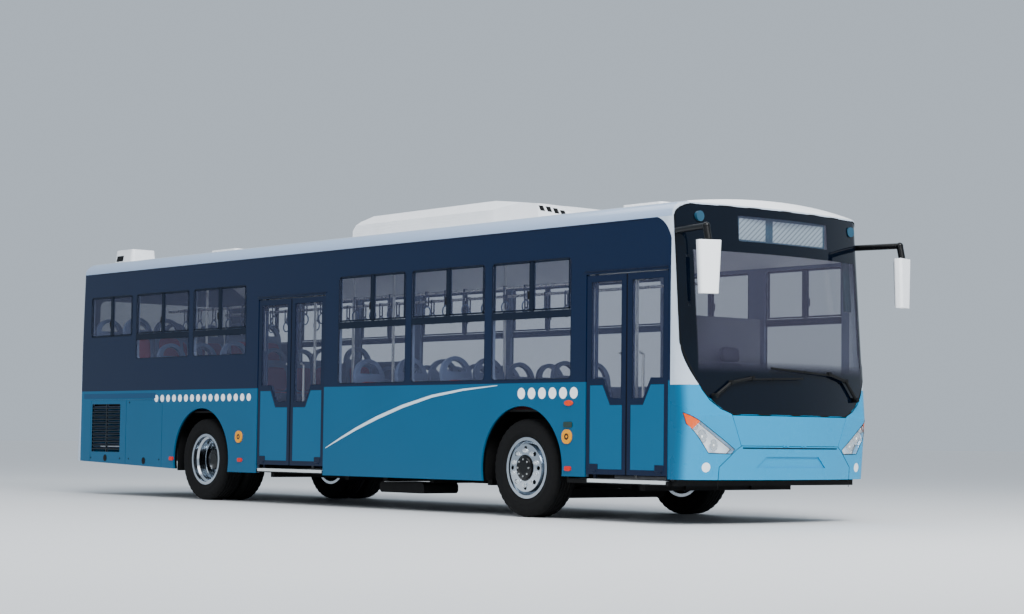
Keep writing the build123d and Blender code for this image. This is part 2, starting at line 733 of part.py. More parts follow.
# Steering knuckles: a fork round the beam's eye, the kingpin and the spindle
fork_gap = 3
fork_thick = 34
spindle_end_y = 1150
front_spindle_radius = 34


def knuckle(side):
    low, high = wheel_z - eye_half - fork_gap, wheel_z + eye_half + fork_gap
    near, away = kingpin_y, kingpin_y + 84
    piece = Part()
    for z in (low - fork_thick, high):
        piece += Pos(0, side * near, z) * Cylinder(40, fork_thick, align=LOW)
        piece += span_box((-40, 40), (side * near, side * away), (z, z + fork_thick))
    piece += span_box((-40, 40), (side * (away - 36), side * away), (low - fork_thick, high + fork_thick))
    piece += (Pos(0, side * near, low - fork_thick)
              * Cylinder(kingpin_radius, high - low + 2 * fork_thick, align=LOW))
    piece += drum(0, (side * (away - 10), side * spindle_end_y), wheel_z, front_spindle_radius)
    return piece


# Wheels: outlines of radius and offset from the wheel's middle plane, outwards positive
rim_half = tyre_width / 2 - 24
BARREL = [(flange_radius, -rim_half), (flange_radius, -rim_half + 12), (bead_radius, -rim_half + 22),
          (bead_radius, -60), (258, -40), (258, 40), (bead_radius, 60), (bead_radius, rim_half - 22),
          (flange_radius, rim_half - 12), (flange_radius, rim_half), (268, rim_half), (268, 66),
          (247, 48), (247, -48), (268, -66), (268, -rim_half)]
FRONT_DISC = [(252, 40), (240, 44), (222, 112), (111, 122), (111, 134), (232, 124), (252, 58)]
FRONT_HUB = [(0, -6), (150, -6), (150, 30), (112, 40), (112, 146), (100, 152), (60, 156), (0, 156)]
twin_reach = twin_spacing / 2
REAR_DISC = [(252, -40), (252, -58), (228, -twin_reach + 0.1), (120, -twin_reach + 0.1),
             (120, -twin_reach + 12), (218, -twin_reach + 12), (240, -44)]
REAR_HUB = [(0, -210), (150, -210), (150, -170), (124, -160), (124, -20), (112, 0), (60, 4), (0, 4)]
hand_hole_radius = 22
hand_holes = 8


def turned(points, side, x, y):
    """Radius and offset points turned round the wheel's axle."""
    face = Plane.XY * polygon([(radius, offset_y * side) for radius, offset_y in points])
    return Pos(x, side * y, wheel_z) * revolve(face, Axis.Y)


def hand_hole_cuts(side, x, y, circle_radius):
    cuts = []
    for index in range(hand_holes):
        spin = Rot(0, 360 / hand_holes * index, 0)
        cuts.append(Pos(x, side * y, wheel_z) * spin * Pos(circle_radius, 0, 0) * Rot(90, 0, 0)
                    * Cylinder(hand_hole_radius, 120))
    return cuts


def spindle_bore(side, x, end_y, radius):
    return drum(x, (0, side * end_y), wheel_z, radius + pin_fit)


def front_wheel(side):
    barrel = turned(BARREL, side, 0, wheel_y) + turned(FRONT_DISC, side, 0, wheel_y)
    wheel = barrel - hand_hole_cuts(side, 0, wheel_y + 120, 192)
    hub = turned(FRONT_HUB, side, 0, wheel_y)
    return wheel + hub - spindle_bore(side, 0, spindle_end_y + 2, front_spindle_radius)


def tyre(side, x, y):
    """A tyre with a flat tread, round shoulders and bulged side walls."""
    half = tyre_width / 2
    bead = rim_half - 12 - seat_gap
    seat = bead_radius + seat_gap
    lip = flange_radius + seat_gap
    tread_half = half - 34
    top = wheel_z
    face = make_face([
        Line((seat, -bead + 10), (seat, bead - 10)),
        Line((seat, bead - 10), (lip, bead)),
        Line((lip, bead), (lip + 8, bead + 14)),
        Line((lip + 8, bead + 14), (top - 110, half)),
        Line((top - 110, half), (top - 60, half)),
        Line((top - 60, half), (top - 18, half - 14)),
        Line((top - 18, half - 14), (top, tread_half)),
        Line((top, tread_half), (top, -tread_half)),
        Line((top, -tread_half), (top - 18, -half + 14)),
        Line((top - 18, -half + 14), (top - 60, -half)),
        Line((top - 60, -half), (top - 110, -half)),
        Line((top - 110, -half), (lip + 8, -bead - 14)),
        Line((lip + 8, -bead - 14), (lip, -bead)),
        Line((lip, -bead), (seat, -bead + 10)),
    ])
    return Pos(x, side * y, wheel_z) * revolve(face, Axis.Y)


def rear_wheel(side):
    """Two rims back to back on one hub, the outer one a deep dish."""
    inner_disc = [(radius, -place) for radius, place in REAR_DISC]
    x = rear_x
    rims = turned(BARREL, side, x, wheel_y) + turned(REAR_DISC, side, x, wheel_y)
    inner_y = wheel_y - twin_spacing
    rims += turned(BARREL, side, x, inner_y) + turned(inner_disc, side, x, inner_y)
    rims -= hand_hole_cuts(side, x, wheel_y - twin_reach, 192)
    hub = turned(REAR_HUB, side, x, wheel_y)
    return rims + hub - spindle_bore(side, x, rear_spindle_end_y + 2, spindle_radius)


for side, hand in ((-1, "right"), (1, "left")):
    save(f"knuckle_{hand}", knuckle(side))
    save(f"wheel_front_{hand}", front_wheel(side))
    save(f"tyre_front_{hand}", tyre(side, 0, wheel_y))
    save(f"wheels_rear_{hand}", rear_wheel(side))
    save(f"tyres_rear_{hand}",
         gather(tyre(side, rear_x, wheel_y), tyre(side, rear_x, wheel_y - twin_spacing)))

# Engine, and the tanks slung under the floor
engine_half = 420
engine_x = (rear_x - 2560, rear_x - 1410)
engine_z = (rear_floor_z - 370, engine_floor_z - floor_plate - 60)
engine = span_box(engine_x, (-engine_half, engine_half), engine_z)
for side in (-1, 1):
    engine -= span_box((engine_x[0] - 10, engine_x[1] + 10),
                       (side * rail_y - 60, side * rail_y + 60), high_rail_z)
save("engine", engine)
tank = Pos(-2100, -860, 0) * side_plate((-380, 380), (180, 289.7), (-230, 230), 40)
air_tanks = [rod((x, 620, 215), (x, 1080, 215), 74.7) for x in (-1350, -1150)]
save("under_tanks", gather(tank, *air_tanks))

# Roof: air-conditioning unit, two hatches and the intake at the back
ac_line = [(-3440, 2800), (-3440, 3050), (-3340, 3150), (-3180, 3205), (-1090, 3216),
           (-350, 3130), (60, 2985), (60, 2800)]
ac_half_y = 800
ac_face = both_halves(polygon([(0, 2800), (ac_half_y, 2800), (ac_half_y, 3110),
                               (ac_half_y - 110, 3218), (0, 3218)]))
ac_plan = [(-3440, ac_half_y), (-1000, ac_half_y), (-400, 715), (-120, 575), (60, 430)]
above_roof = Pos(0, 0, seat_gap) * along(section_outline(0), (-far / 2, far / 2))
ac_unit = across(ac_line, (-ac_half_y, ac_half_y)) & along(ac_face, (-3440, 60))
ac_unit &= extrude(polygon(ac_plan + [(x, -y) for x, y in reversed(ac_plan)]), 4 * width)
for index in range(4):
    slot_x = -640 + index * 140
    slot_z = 3216 - (slot_x + 1090) * 86 / 740
    ac_unit -= Pos(slot_x, -480, slot_z) * Rot(0, 6.6, 0) * Box(60, 200, 60)
save("ac_unit", ac_unit - above_roof)
# Two roof hatches and the intake at the back: x, y, half length, half width and top
ROOF_HATCHES = [
    (650, 0, 300, 300, 3090),
    (rear_x - 1110, 0, 300, 300, 3090),
    (rear_x - 2440, -750, 230, 190, 3120),
]
hatches = []
for x, y, half_x, half_y, top in ROOF_HATCHES:
    lid = extrude(RectangleRounded(2 * half_x, 2 * half_y, 60), top - roof_edge_z, taper=8)
    hatches.append(Pos(x, y, roof_edge_z) * lid - above_roof)
save("roof_hatches", gather(*hatches))


# Wipers: a pivot, a jointed arm and a blade on each side of the windscreen's foot
# Per wiper: points of y and z along the arm, then the blade's two ends
WIPERS = [
    ([(-975, 1165), (-800, 1290), (-560, 1335)], (-690, 1315), (80, 1345)),
    ([(940, 1165), (760, 1340), (480, 1400)], (560, 1385), (-330, 1430)),
]
wiper_radius = 16
blade_radius = 10
wiper_stand = 30


def glass_x(y, z):
    """The front of the windscreen at a place."""
    setback, foot_z, lean, *rest = FRONT_FACES[1]
    back = setback + (z - foot_z) * tan(radians(lean))
    return front_overhang - back - (front_curve - sqrt(front_curve ** 2 - y ** 2))


def wiper_joint(place, radius):
    """A short round boss whose pin runs along X."""
    return Pos(*place) * Rot(0, 90, 0) * Cylinder(radius, 2 * radius)


def wiper(arm, blade_start, blade_end):
    points = [(glass_x(y, z) + wiper_stand, y, z) for y, z in arm]
    piece = rod((points[0][0] - wiper_stand - 2, *arm[0]), points[0], wiper_radius + 8)
    piece += wiper_joint(points[0], wiper_radius + 6)
    for start, end in zip(points, points[1:]):
        piece += rod(start, end, wiper_radius) + wiper_joint(end, wiper_radius + 3)
    ends = [(glass_x(y, z) + wiper_stand, y, z) for y, z in (blade_start, blade_end)]
    middle_y, middle_z = ((a + b) / 2 for a, b in zip(blade_start, blade_end))
    middle = (glass_x(middle_y, middle_z) + wiper_stand - 4, middle_y, middle_z)
    blade = rod(ends[0], middle, blade_radius) + rod(middle, ends[1], blade_radius)
    return piece + blade + wiper_joint(middle, blade_radius + 3)


save("wipers", gather(*[wiper(*row) - hull for row in WIPERS]))

# Seats: x of the cushion's middle, floor height, plinth height, cushion height over that and y places
seat_width = 430
seat_depth = 400
cushion_z = 440
box_cushion_z = 190
cushion_thick = 60
back_thick = 45
back_height = 640
back_tilt = 8
SEAT_ROWS = [
    (-1100, low_floor_z, 130, cushion_z, (-980, -540, 540, 980)),
    (-1850, low_floor_z, 130, cushion_z, (-980, -540, 540, 980)),
    (-2600, low_floor_z, 130, cushion_z, (-980, 540, 980)),
    (rear_x + 2290, low_floor_z, 130, cushion_z, (540, 980)),
    (rear_x + 1540, low_floor_z, 130, cushion_z, (540, 980)),
    (rear_x + 420, box_top_z, 0, box_cushion_z, (-900, 900)),
    (rear_x - 300, box_top_z, 0, box_cushion_z, (-900, 900)),
    (rear_x - 880, rear_floor_z, 0, cushion_z, (-980, -540, 540, 980)),
    (rear_x - 1700, engine_floor_z, 0, cushion_z, (-980, -540, 540, 980)),
    (rear_x - 2400, engine_floor_z, 0, cushion_z, (-980, -540, 0, 540, 980)),
]


def seat(cushion_z):
    """A moulded seat with a high arched back and a grab loop, standing at the origin."""
    half = seat_width / 2
    top = cushion_z + cushion_thick
    pedestal = span_box((-120, 140), (-half + 60, half - 60), (seat_gap, cushion_z + 1))
    cushion = span_box((-seat_depth / 2, seat_depth / 2), (-half, half), (cushion_z, top))
    back_face = make_face([
        Line((half, 0), (half * 0.92, back_height - 230)),
        ThreePointArc((half * 0.92, back_height - 230), (0, back_height),
                      (-half * 0.92, back_height - 230)),
        Line((-half * 0.92, back_height - 230), (-half, 0)),
        Line((-half, 0), (half, 0)),
    ])
    loop_face = make_face([
        Line((-half * 0.6, back_height - 160), (half * 0.6, back_height - 160)),
        ThreePointArc((half * 0.6, back_height - 160), (0, back_height - 45),
                      (-half * 0.6, back_height - 160)),
    ])
    back = along(back_face - loop_face, (-back_thick, 0))
    return pedestal + cushion + Pos(-seat_depth / 2 + 30, 0, cushion_z + 10) * Rot(0, -back_tilt, 0) * back


seats = []
for x, floor_z, plinth, cushion, places in SEAT_ROWS:
    one_seat = seat(cushion)
    for y in places:
        seats.append(Pos(x, y, floor_z + plinth) * one_seat)
        if plinth:
            block = Box(seat_depth, seat_width - 10, plinth - seat_gap, align=LOW)
            seats.append(Pos(x, y, floor_z + seat_gap) * block)
save("passenger_seats", gather(*seats))

# Driver's place
driver_x = 1250
driver_y = 640
driver_seat = Pos(driver_x, driver_y, podium_z) * seat(cushion_z)
save("driver_seat", driver_seat)
dash_front_x = front_overhang - 155
dash_line = [(toe_x - 40, 900), (toe_x - 40, 1180), (toe_x + 60, 1250), (dash_front_x, 1190),
             (dash_front_x, 1075), (dash_front_x - 50, 900)]
dash = across(dash_line, (-1100, 1180))
dash += across([(toe_x + 20, podium_z + 1), (toe_x + 20, 905), (toe_x + 140, 905),
                (toe_x + 140, toe_z + seat_gap), (toe_x + seat_gap, toe_z + seat_gap),
                (toe_x + seat_gap, podium_z + 1)], (-700, 1100))
wheel_centre = Plane(origin=(1800, driver_y, 1270), z_dir=(-1, 0, 1.9))
spokes = Cylinder(55, 40) + Box(430, 34, 14) + Box(34, 430, 14)
wheel_rim = revolve(Plane.XZ * Pos(225, 0) * RegularPolygon(15, 8), Axis.Z)
steering_wheel = wheel_centre * (wheel_rim + spokes)
column = rod((1815, driver_y, 1245), (toe_x + 30, driver_y, 1040), 40)
save("dashboard", gather(dash & envelope(wall + 45), column - steering_wheel - dash, steering_wheel))
save("driver_partition", span_box((870, 900), (180, floor_side_y - 30), (podium_z + seat_gap, 2000)))

# Grab rails: poles as x, side and floor height, and the two ceiling rails
POLES = [
    (760, -1, low_floor_z),
    (-750, 1, low_floor_z),
    (-1500, -1, low_floor_z),
    (-2250, 1, low_floor_z),
    (rear_x + 2640, -1, low_floor_z),
    (rear_x + 1890, 1, low_floor_z),
    (rear_x + 1130, -1, low_floor_z),
    (rear_x + 710, 1, rear_floor_z),
    (rear_x - 1210, -1, rear_floor_z),
    (rear_x - 1210, 1, rear_floor_z),
]
pole_radius = 16
rail_z = 2330
rail_half_y = 430
ceiling_z = crown_z - wall
rails = []
for side in (-1, 1):
    y = side * rail_half_y
    rail = rod((900, y, rail_z), (rear_x - 2110, y, rail_z), pole_radius)
    for x, pole_side, floor_z in POLES:
        if pole_side == side:
            rail += rod((x, y, floor_z + seat_gap), (x, y, ceiling_z - 20), pole_radius)
    rails.append(rail)
save("grab_rails", gather(*rails))
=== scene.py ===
from functools import partialmethod
from math import cos, pi, radians, sin, sqrt, tan

import bpy
from mathutils import Matrix, Vector


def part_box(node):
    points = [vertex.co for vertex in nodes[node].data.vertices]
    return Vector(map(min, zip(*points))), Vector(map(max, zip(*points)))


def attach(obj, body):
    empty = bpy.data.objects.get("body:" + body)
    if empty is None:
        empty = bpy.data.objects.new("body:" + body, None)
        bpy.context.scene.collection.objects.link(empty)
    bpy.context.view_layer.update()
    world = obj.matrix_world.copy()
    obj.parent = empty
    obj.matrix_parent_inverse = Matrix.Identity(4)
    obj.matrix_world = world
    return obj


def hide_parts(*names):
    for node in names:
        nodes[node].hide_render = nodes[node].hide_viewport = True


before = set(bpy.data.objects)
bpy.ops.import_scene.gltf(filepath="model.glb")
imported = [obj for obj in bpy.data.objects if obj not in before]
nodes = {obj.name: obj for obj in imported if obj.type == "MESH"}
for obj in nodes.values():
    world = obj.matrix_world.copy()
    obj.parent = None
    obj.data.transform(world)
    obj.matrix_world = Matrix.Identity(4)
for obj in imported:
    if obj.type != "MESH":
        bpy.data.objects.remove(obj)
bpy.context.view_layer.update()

# The bus stands with X forward, Y to its left and Z up, in metres. Places along the bus are
# written from the front axle, as a bus is drawn, and along() brings them into the frame.
tyre_low, tyre_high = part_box("tyre_front_right")
axle_x = (tyre_low.x + tyre_high.x) / 2
wheel_z = (tyre_low.z + tyre_high.z) / 2
tyre_width = tyre_high.y - tyre_low.y
wheel_y = -(tyre_low.y + tyre_high.y) / 2
rear_low, rear_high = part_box("tyres_rear_right")
rear_x = (rear_low.x + rear_high.x) / 2
twin_spacing = rear_high.y - rear_low.y - tyre_width
side_y = -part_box("side_wall_right")[0].y
rear_axle_x = rear_x - axle_x

# Heights of the colour edges and of the windows, as in the frame
waist_z = 1.3
pillar_waist_z = 1.262
window_top_z = 2.49
bar_z = (1.926, 1.996)
door_pane_z = (1.143, 1.328, 2.237)

# The hands of the bus, with the way that each lies along Y
SIDES = (("right", -1), ("left", 1))


def along(x):
    """A place along the bus, measured from the front axle."""
    return axle_x + x


def turns(count, start=0.0):
    """Angles spread evenly round a circle."""
    return [2 * pi * (step + start) / count for step in range(count)]


def circle(middle, radius, count):
    """Points spread evenly round a circle."""
    return [(middle[0] + radius * cos(angle), middle[1] + radius * sin(angle)) for angle in turns(count)]


def rgb(red, green, blue, alpha=1.0):
    """A colour as it looks on a screen, turned into the renderer's linear light."""
    linear = [((part / 255 + 0.055) / 1.055) ** 2.4 if part > 10 else part / 255 / 12.92
              for part in (red, green, blue)]
    return (*linear, alpha)


class Shader:
    """A material and short calls for the nodes that it is made of."""

    def __init__(self, name, colour=None, **settings):
        self.material = bpy.data.materials.new(name)
        self.material.use_nodes = True
        self.tree = self.material.node_tree
        self.surface = self.tree.nodes["Principled BSDF"]
        if colour is not None:
            self.surface.inputs["Base Color"].default_value = colour
        for socket, value in settings.items():
            self.surface.inputs[socket.replace("_", " ")].default_value = value
        self.material.diffuse_color = colour or (0.5, 0.5, 0.5, 1)

    def node(self, kind, **properties):
        made = self.tree.nodes.new(kind)
        for name, value in properties.items():
            setattr(made, name, value)
        return made

    def feed(self, socket, value):
        if isinstance(value, bpy.types.NodeSocket):
            self.tree.links.new(value, socket)
        else:
            socket.default_value = value

    def set(self, socket, value):
        self.feed(self.surface.inputs[socket], value)

    def colour(self, value):
        self.set("Base Color", value)

    def coords(self):
        return self.node("ShaderNodeTexCoord").outputs["Object"]

    def xyz(self):
        split = self.node("ShaderNodeSeparateXYZ")
        self.feed(split.inputs[0], self.coords())
        return split.outputs["X"], split.outputs["Y"], split.outputs["Z"]

    def math(self, operation, *values):
        made = self.node("ShaderNodeMath", operation=operation)
        for socket, value in zip(made.inputs, values):
            self.feed(socket, value)
        return made.outputs[0]

    times = partialmethod(math, "MULTIPLY")
    minus = partialmethod(math, "SUBTRACT")
    either = partialmethod(math, "MAXIMUM")
    absolute = partialmethod(math, "ABSOLUTE")
    # 1 where a value is above or below a limit, or near a middle by no more than a reach, and 0 elsewhere
    above = partialmethod(math, "GREATER_THAN")
    below = partialmethod(math, "LESS_THAN")
    near = partialmethod(math, "COMPARE")

    def distance(self, first, second):
        """The length of a line from its reach along two axes."""
        return self.math("SQRT", self.math("ADD", self.times(first, first), self.times(second, second)))

    def inside(self, value, low, high):
        """1 between two limits."""
        return self.near(value, (low + high) / 2, (high - low) / 2)

    def spread(self, value, start, end, low=0.0, high=1.0, kind="LINEAR"):
        """Low before start, high after end and a slope between them."""
        made = self.node("ShaderNodeMapRange", interpolation_type=kind)
        for name, number in zip(("Value", "From Min", "From Max", "To Min", "To Max"), (value, start, end, low, high)):
            self.feed(made.inputs[name], number)
        return made.outputs["Result"]

    def ramp(self, value, start, end):
        """0 before start, 1 after end and smooth between them."""
        return self.spread(value, start, end, kind="SMOOTHSTEP")

    def mix(self, share, first, second):
        made = self.node("ShaderNodeMix", data_type="RGBA")
        self.feed(made.inputs["Factor"], share)
        self.feed(made.inputs[6], first)
        self.feed(made.inputs[7], second)
        return made.outputs[2]

    def mottled(self, colour, share, scale):
        """A colour that is darker by a share here and there."""
        darker = tuple(part * (1 - share) for part in colour[:3]) + (1.0,)
        return self.mix(self.noise(scale), darker, colour)

    def noise(self, scale, detail=3.0, stretch=None):
        made = self.node("ShaderNodeTexNoise")
        vector = self.coords()
        if stretch:
            scaled = self.node("ShaderNodeMapping")
            self.feed(scaled.inputs["Vector"], vector)
            scaled.inputs["Scale"].default_value = stretch
            vector = scaled.outputs[0]
        self.feed(made.inputs["Vector"], vector)
        made.inputs["Scale"].default_value = scale
        made.inputs["Detail"].default_value = detail
        return made.outputs["Fac"]

    def cells(self, scale):
        made = self.node("ShaderNodeTexVoronoi")
        self.feed(made.inputs["Vector"], self.coords())
        made.inputs["Scale"].default_value = scale
        return made.outputs["Distance"]

    def rough(self, low, high, scale=3.0, stretch=None):
        """A roughness that wanders between two values."""
        self.set("Roughness", self.spread(self.noise(scale, 4.0, stretch), 0.0, 1.0, low, high))

    def finish(self, low, high, scale=3.0):
        """Sets the roughness and gives the material."""
        self.rough(low, high, scale)
        return self.material

    def bump(self, height, strength, distance=0.002):
        made = self.node("ShaderNodeBump")
        made.inputs["Strength"].default_value = strength
        made.inputs["Distance"].default_value = distance
        self.feed(made.inputs["Height"], height)
        self.set("Normal", made.outputs[0])


def varied(name, colour, share, low, high, scale, **settings):
    """A material whose colour and roughness wander a little."""
    shader = Shader(name, colour, **settings)
    shader.colour(shader.mottled(colour, share, scale))
    shader.rough(low, high, scale)
    return shader


# Colours
blue = rgb(0, 84, 120)
light_blue = rgb(0, 140, 190)
navy = rgb(0, 21, 50)
navy_frame = rgb(0, 18, 46)
silver = rgb(186, 198, 212)
# The roof cove's silver: a darker copy of the silver, painted shade.
cove_silver_shaded = rgb(146, 166, 194)
trim_grey = rgb(92, 104, 126)
white = rgb(240, 243, 246)
black = rgb(8, 9, 11)
chrome_grey = rgb(190, 198, 206)
dot_white = rgb(245, 248, 250)
grille_grey = rgb(10, 22, 30)
dull = {"Specular_IOR_Level": 0.2}
body_gloss = {"Specular_IOR_Level": 0.18, "Coat_Weight": 0.14, "Coat_Roughness": 0.05}

# How far the black lining of the wheel arches, painted shade, reaches from each axle, and its top
arch_reach = 0.65
arch_top_z = 1.08

# Dots painted on the right and left sides: first x, last x, height, count and radius
DOTS = [
    (-6.808, -4.785, 1.2, 16, 0.043),
    (-0.004, 0.757, 1.2, 6, 0.055),
]


def dots(shader, x, z):
    """1 on the white dots of the sides."""
    shown = 0.0
    for first, last, height, count, radius in DOTS:
        pitch = (last - first) / (count - 1)
        steps = shader.math("DIVIDE", shader.minus(x, along(first)), pitch)
        off = shader.times(shader.minus(steps, shader.math("ROUND", steps)), pitch)
        far = shader.distance(off, shader.minus(z, height))
        row = shader.near(steps, (count - 1) / 2, count / 2)
        shown = shader.either(shown, shader.times(shader.below(far, radius), row))
    return shown


def side_paint(name):
    """Blue below the waist, navy round the windows, dark grilles, a groove darkened with painted shade, and a lining
    inside.

    The navy band ends ahead in a silver corner with a round edge. The lining is painted black in the wheel arches as
    shade.
    """
    shader = Shader(name, blue, **body_gloss)
    x, y, z = shader.xyz()
    low = shader.mix(dots(shader, x, z), shader.mottled(blue, 0.12, 1.3), dot_white)
    # The groove above the flaps is painted a darker blue: painted shade in the recess.
    groove = shader.times(shader.inside(z, 1.203, 1.268), shader.below(x, along(-6.83)))
    low = shader.mix(groove, low, rgb(3, 62, 98))
    grille = shader.times(shader.inside(x, along(-8.362), along(-7.664)), shader.inside(z, 0.538, 1.137))
    low = shader.mix(grille, low, grille_grey)
    ahead = shader.either(shader.minus(x, along(1.79)), 0.0)
    over = shader.either(shader.minus(z, 2.54), 0.0)
    band = shader.mix(shader.above(shader.distance(ahead, over), 0.265), navy, silver)
    skin = shader.mix(shader.above(z, waist_z), low, band)
    outer_face = shader.above(shader.absolute(y), side_y - 0.02)
    # Inside the wheel arches the lining is painted black: painted shade in the hollows over the wheels.
    arch_shade = shader.either(shader.near(x, axle_x, arch_reach), shader.near(x, rear_x, arch_reach))
    arch_shade = shader.times(arch_shade, shader.below(z, arch_top_z))
    lining = shader.mix(arch_shade, trim_grey, black)
    shader.colour(shader.mix(outer_face, lining, skin))
    return shader.finish(0.26, 0.38, 2.0)


def mask_paint():
    """Light blue below, darkened with painted shade where the corners turn to the sides, and silver pillars."""
    shader = Shader("mask_paint", light_blue, **body_gloss)
    x, y, z = shader.xyz()
    # Painted shade: the corners darken to the sides' blue as they turn away from the front.
    turned_shade = shader.ramp(shader.absolute(y), 1.19, 1.25)
    low = shader.mix(turned_shade, shader.mottled(light_blue, 0.1, 1.6), blue)
    shader.colour(shader.mix(shader.above(z, pillar_waist_z), low, silver))
    return shader.finish(0.22, 0.32, 2.2)


def roof_paint():
    """White on top, with a silver cove along the sides that is painted darker as shade."""
    shader = Shader("roof_paint", white, Coat_Weight=0.4, Coat_Roughness=0.08)
    x, y, z = shader.xyz()
    side = shader.ramp(shader.absolute(y), 1.11, 1.15)
    # The cove along the sides takes the darker silver: painted shade.
    shader.colour(shader.mix(side, white, cove_silver_shaded))
    return shader.finish(0.24, 0.36, 1.4)


def tail_paint():
    """The rear: blue below with dark louvres, navy round the rear window, and a silver strip down each corner."""
    shader = Shader("tail_paint", blue, **body_gloss)
    x, y, z = shader.xyz()
    across = shader.absolute(y)
    sides = shader.times(shader.above(across, 1.2), shader.above(z, waist_z))
    panel = shader.mix(shader.either(shader.above(z, 1.56), sides), blue, navy)
    louvres = shader.times(shader.inside(across, -0.62, 0.62), shader.inside(z, 0.78, 1.18))
    slat = shader.math("FRACT", shader.times(z, 20.0))
    panel = shader.mix(shader.times(louvres, shader.above(slat, 0.35)), panel, grille_grey)
    corner = shader.times(shader.above(across, 1.15), shader.below(x, along(-8.645)))
    shader.colour(shader.mix(corner, panel, silver))
    shader.bump(shader.times(louvres, slat), 0.6, 0.012)
    return shader.finish(0.26, 0.38, 2.0)


# Door leaves: the outer edge and the free edge of each, from the front axle
DOOR_LEAVES = {
    "door_front_fore": (2.015, 1.481),
    "door_front_aft": (0.929, 1.463),
    "door_rear_fore": (-3.316, -3.9515),
    "door_rear_aft": (-4.605, -3.9695),
}
door_edge = 0.062
step_share = 0.30
slope_run = 0.1


def leaf_edges(name):
    """A leaf's outer and free edge, the way between them and where its pane's foot starts to slope."""
    outer, free = DOOR_LEAVES[name]
    way = 1 if free > outer else -1
    return outer, free, way, outer + way * (door_edge + step_share * abs(free - outer))


def door_leaf_paint(name):
    """A navy frame round the pane and along the edges, and a blue panel below."""
    outer, free, way, step = leaf_edges(name)
    shader = Shader(f"{name}_paint", blue, **body_gloss)
    x, y, z = shader.xyz()
    low_z, step_z, top_z = door_pane_z
    slope = shader.spread(x, along(step), along(step + way * slope_run), step_z - door_edge, low_z - door_edge)
    low, high = sorted((along(outer + way * 0.05), along(free - way * 0.05)))
    panel = shader.times(shader.inside(x, low, high), shader.below(z, slope))
    panel = shader.times(panel, shader.above(z, 0.487))
    panel = shader.times(panel, shader.below(y, -side_y + 0.03))
    shader.colour(shader.mix(panel, navy_frame, blue))
    return shader.finish(0.28, 0.4, 5.0)


def glass(name, tint, alpha):
    shader = Shader(name, tint, IOR=1.5)
    shader.rough(0.02, 0.05, 1.5)
    shader.set("Alpha", alpha)
    return shader.material


def windscreen_glass():
    """Clear in the middle, with the black print round its edge, over its top and along its foot."""
    shader = Shader("windscreen_glass", rgb(60, 62, 78), IOR=1.5, Specular_IOR_Level=0.3)
    x, y, z = shader.xyz()
    across = shader.absolute(y)
    header = shader.above(z, 2.487)
    sign = shader.times(shader.near(across, 0, 0.61), shader.near(z, 2.708, 0.118))
    header = shader.times(header, shader.minus(1.0, sign))
    edge = shader.ramp(across, 1.095, 1.115)
    foot = shader.minus(1.0, shader.ramp(z, 1.36, 1.56))
    printed = shader.either(header, shader.either(edge, foot))
    shader.colour(shader.mix(printed, rgb(66, 66, 84), rgb(3, 9, 20)))
    shader.set("Alpha", shader.either(printed, 0.27))
    return shader.finish(0.02, 0.05, 1.2)


def tyre_rubber():
    shader = varied("tyre_rubber", rgb(13, 13, 14), 0.3, 0.75, 0.95, 26.0, Specular_IOR_Level=0.2)
    shader.bump(shader.noise(240.0, 5.0), 0.25, 0.001)
    return shader.material


def brushed(name, colour, low, high, stretch=(1, 1, 1), **settings):
    shader = Shader(name, colour, Metallic=1.0, **settings)
    shader.rough(low, high, 40.0, stretch)
    shader.bump(shader.noise(90.0, 3.0, stretch), 0.05, 0.0004)
    return shader.material


def grained(name, colour, low, high, scale=320.0, strength=0.2, **settings):
    """Moulded plastic with a fine grain."""
    shader = varied(name, colour, 0.15, low, high, 6.0, **settings)
    shader.bump(shader.noise(scale, 2.0), strength, 0.0008)
    return shader.material


def sign_screen():
    """The destination sign's blank screen: slanting pale bars in a dark case, with one dark column."""
    shader = Shader("sign_screen", rgb(150, 168, 178))
    x, y, z = shader.xyz()
    slant = shader.minus(shader.times(y, 0.8), z)
    bars = shader.math("FRACT", shader.times(slant, 20.0))
    lines = shader.ramp(bars, 0.50, 0.85)
    face = shader.mix(lines, rgb(172, 190, 200), rgb(120, 138, 150))
    screen = shader.times(shader.near(y, 0, 0.575), shader.near(z, 2.71, 0.098))
    column = shader.near(y, -0.17, 0.05)
    screen = shader.times(screen, shader.minus(1.0, column))
    shader.colour(shader.mix(screen, rgb(36, 86, 104), face))
    shader.set("Emission Color", face)
    shader.set("Emission Strength", shader.times(screen, 0.55))
    return shader.finish(0.4, 0.5)


def lamp_glass(name, colour, alpha, glow=0.0):
    shader = Shader(name, colour, IOR=1.5)
    shader.rough(0.03, 0.07, 9.0)
    shader.bump(shader.cells(60.0), 0.15, 0.001)
    shader.set("Alpha", alpha)
    if glow:
        shader.set("Emission Color", colour)
        shader.set("Emission Strength", glow)
    return shader.material


def headlamp_glass():
    """A clear lens with an amber tip at its upper outer end."""
    shader = Shader("headlamp_glass", rgb(225, 232, 236), IOR=1.5)
    x, y, z = shader.xyz()
    amber = shader.above(shader.math("ADD", shader.absolute(y), shader.times(z, 0.9)), 1.955)
    shader.colour(shader.mix(amber, rgb(226, 233, 238), rgb(226, 84, 0)))
    shader.set("Alpha", shader.math("ADD", shader.times(amber, 0.78), 0.12))
    return shader.finish(0.03, 0.06, 9.0)


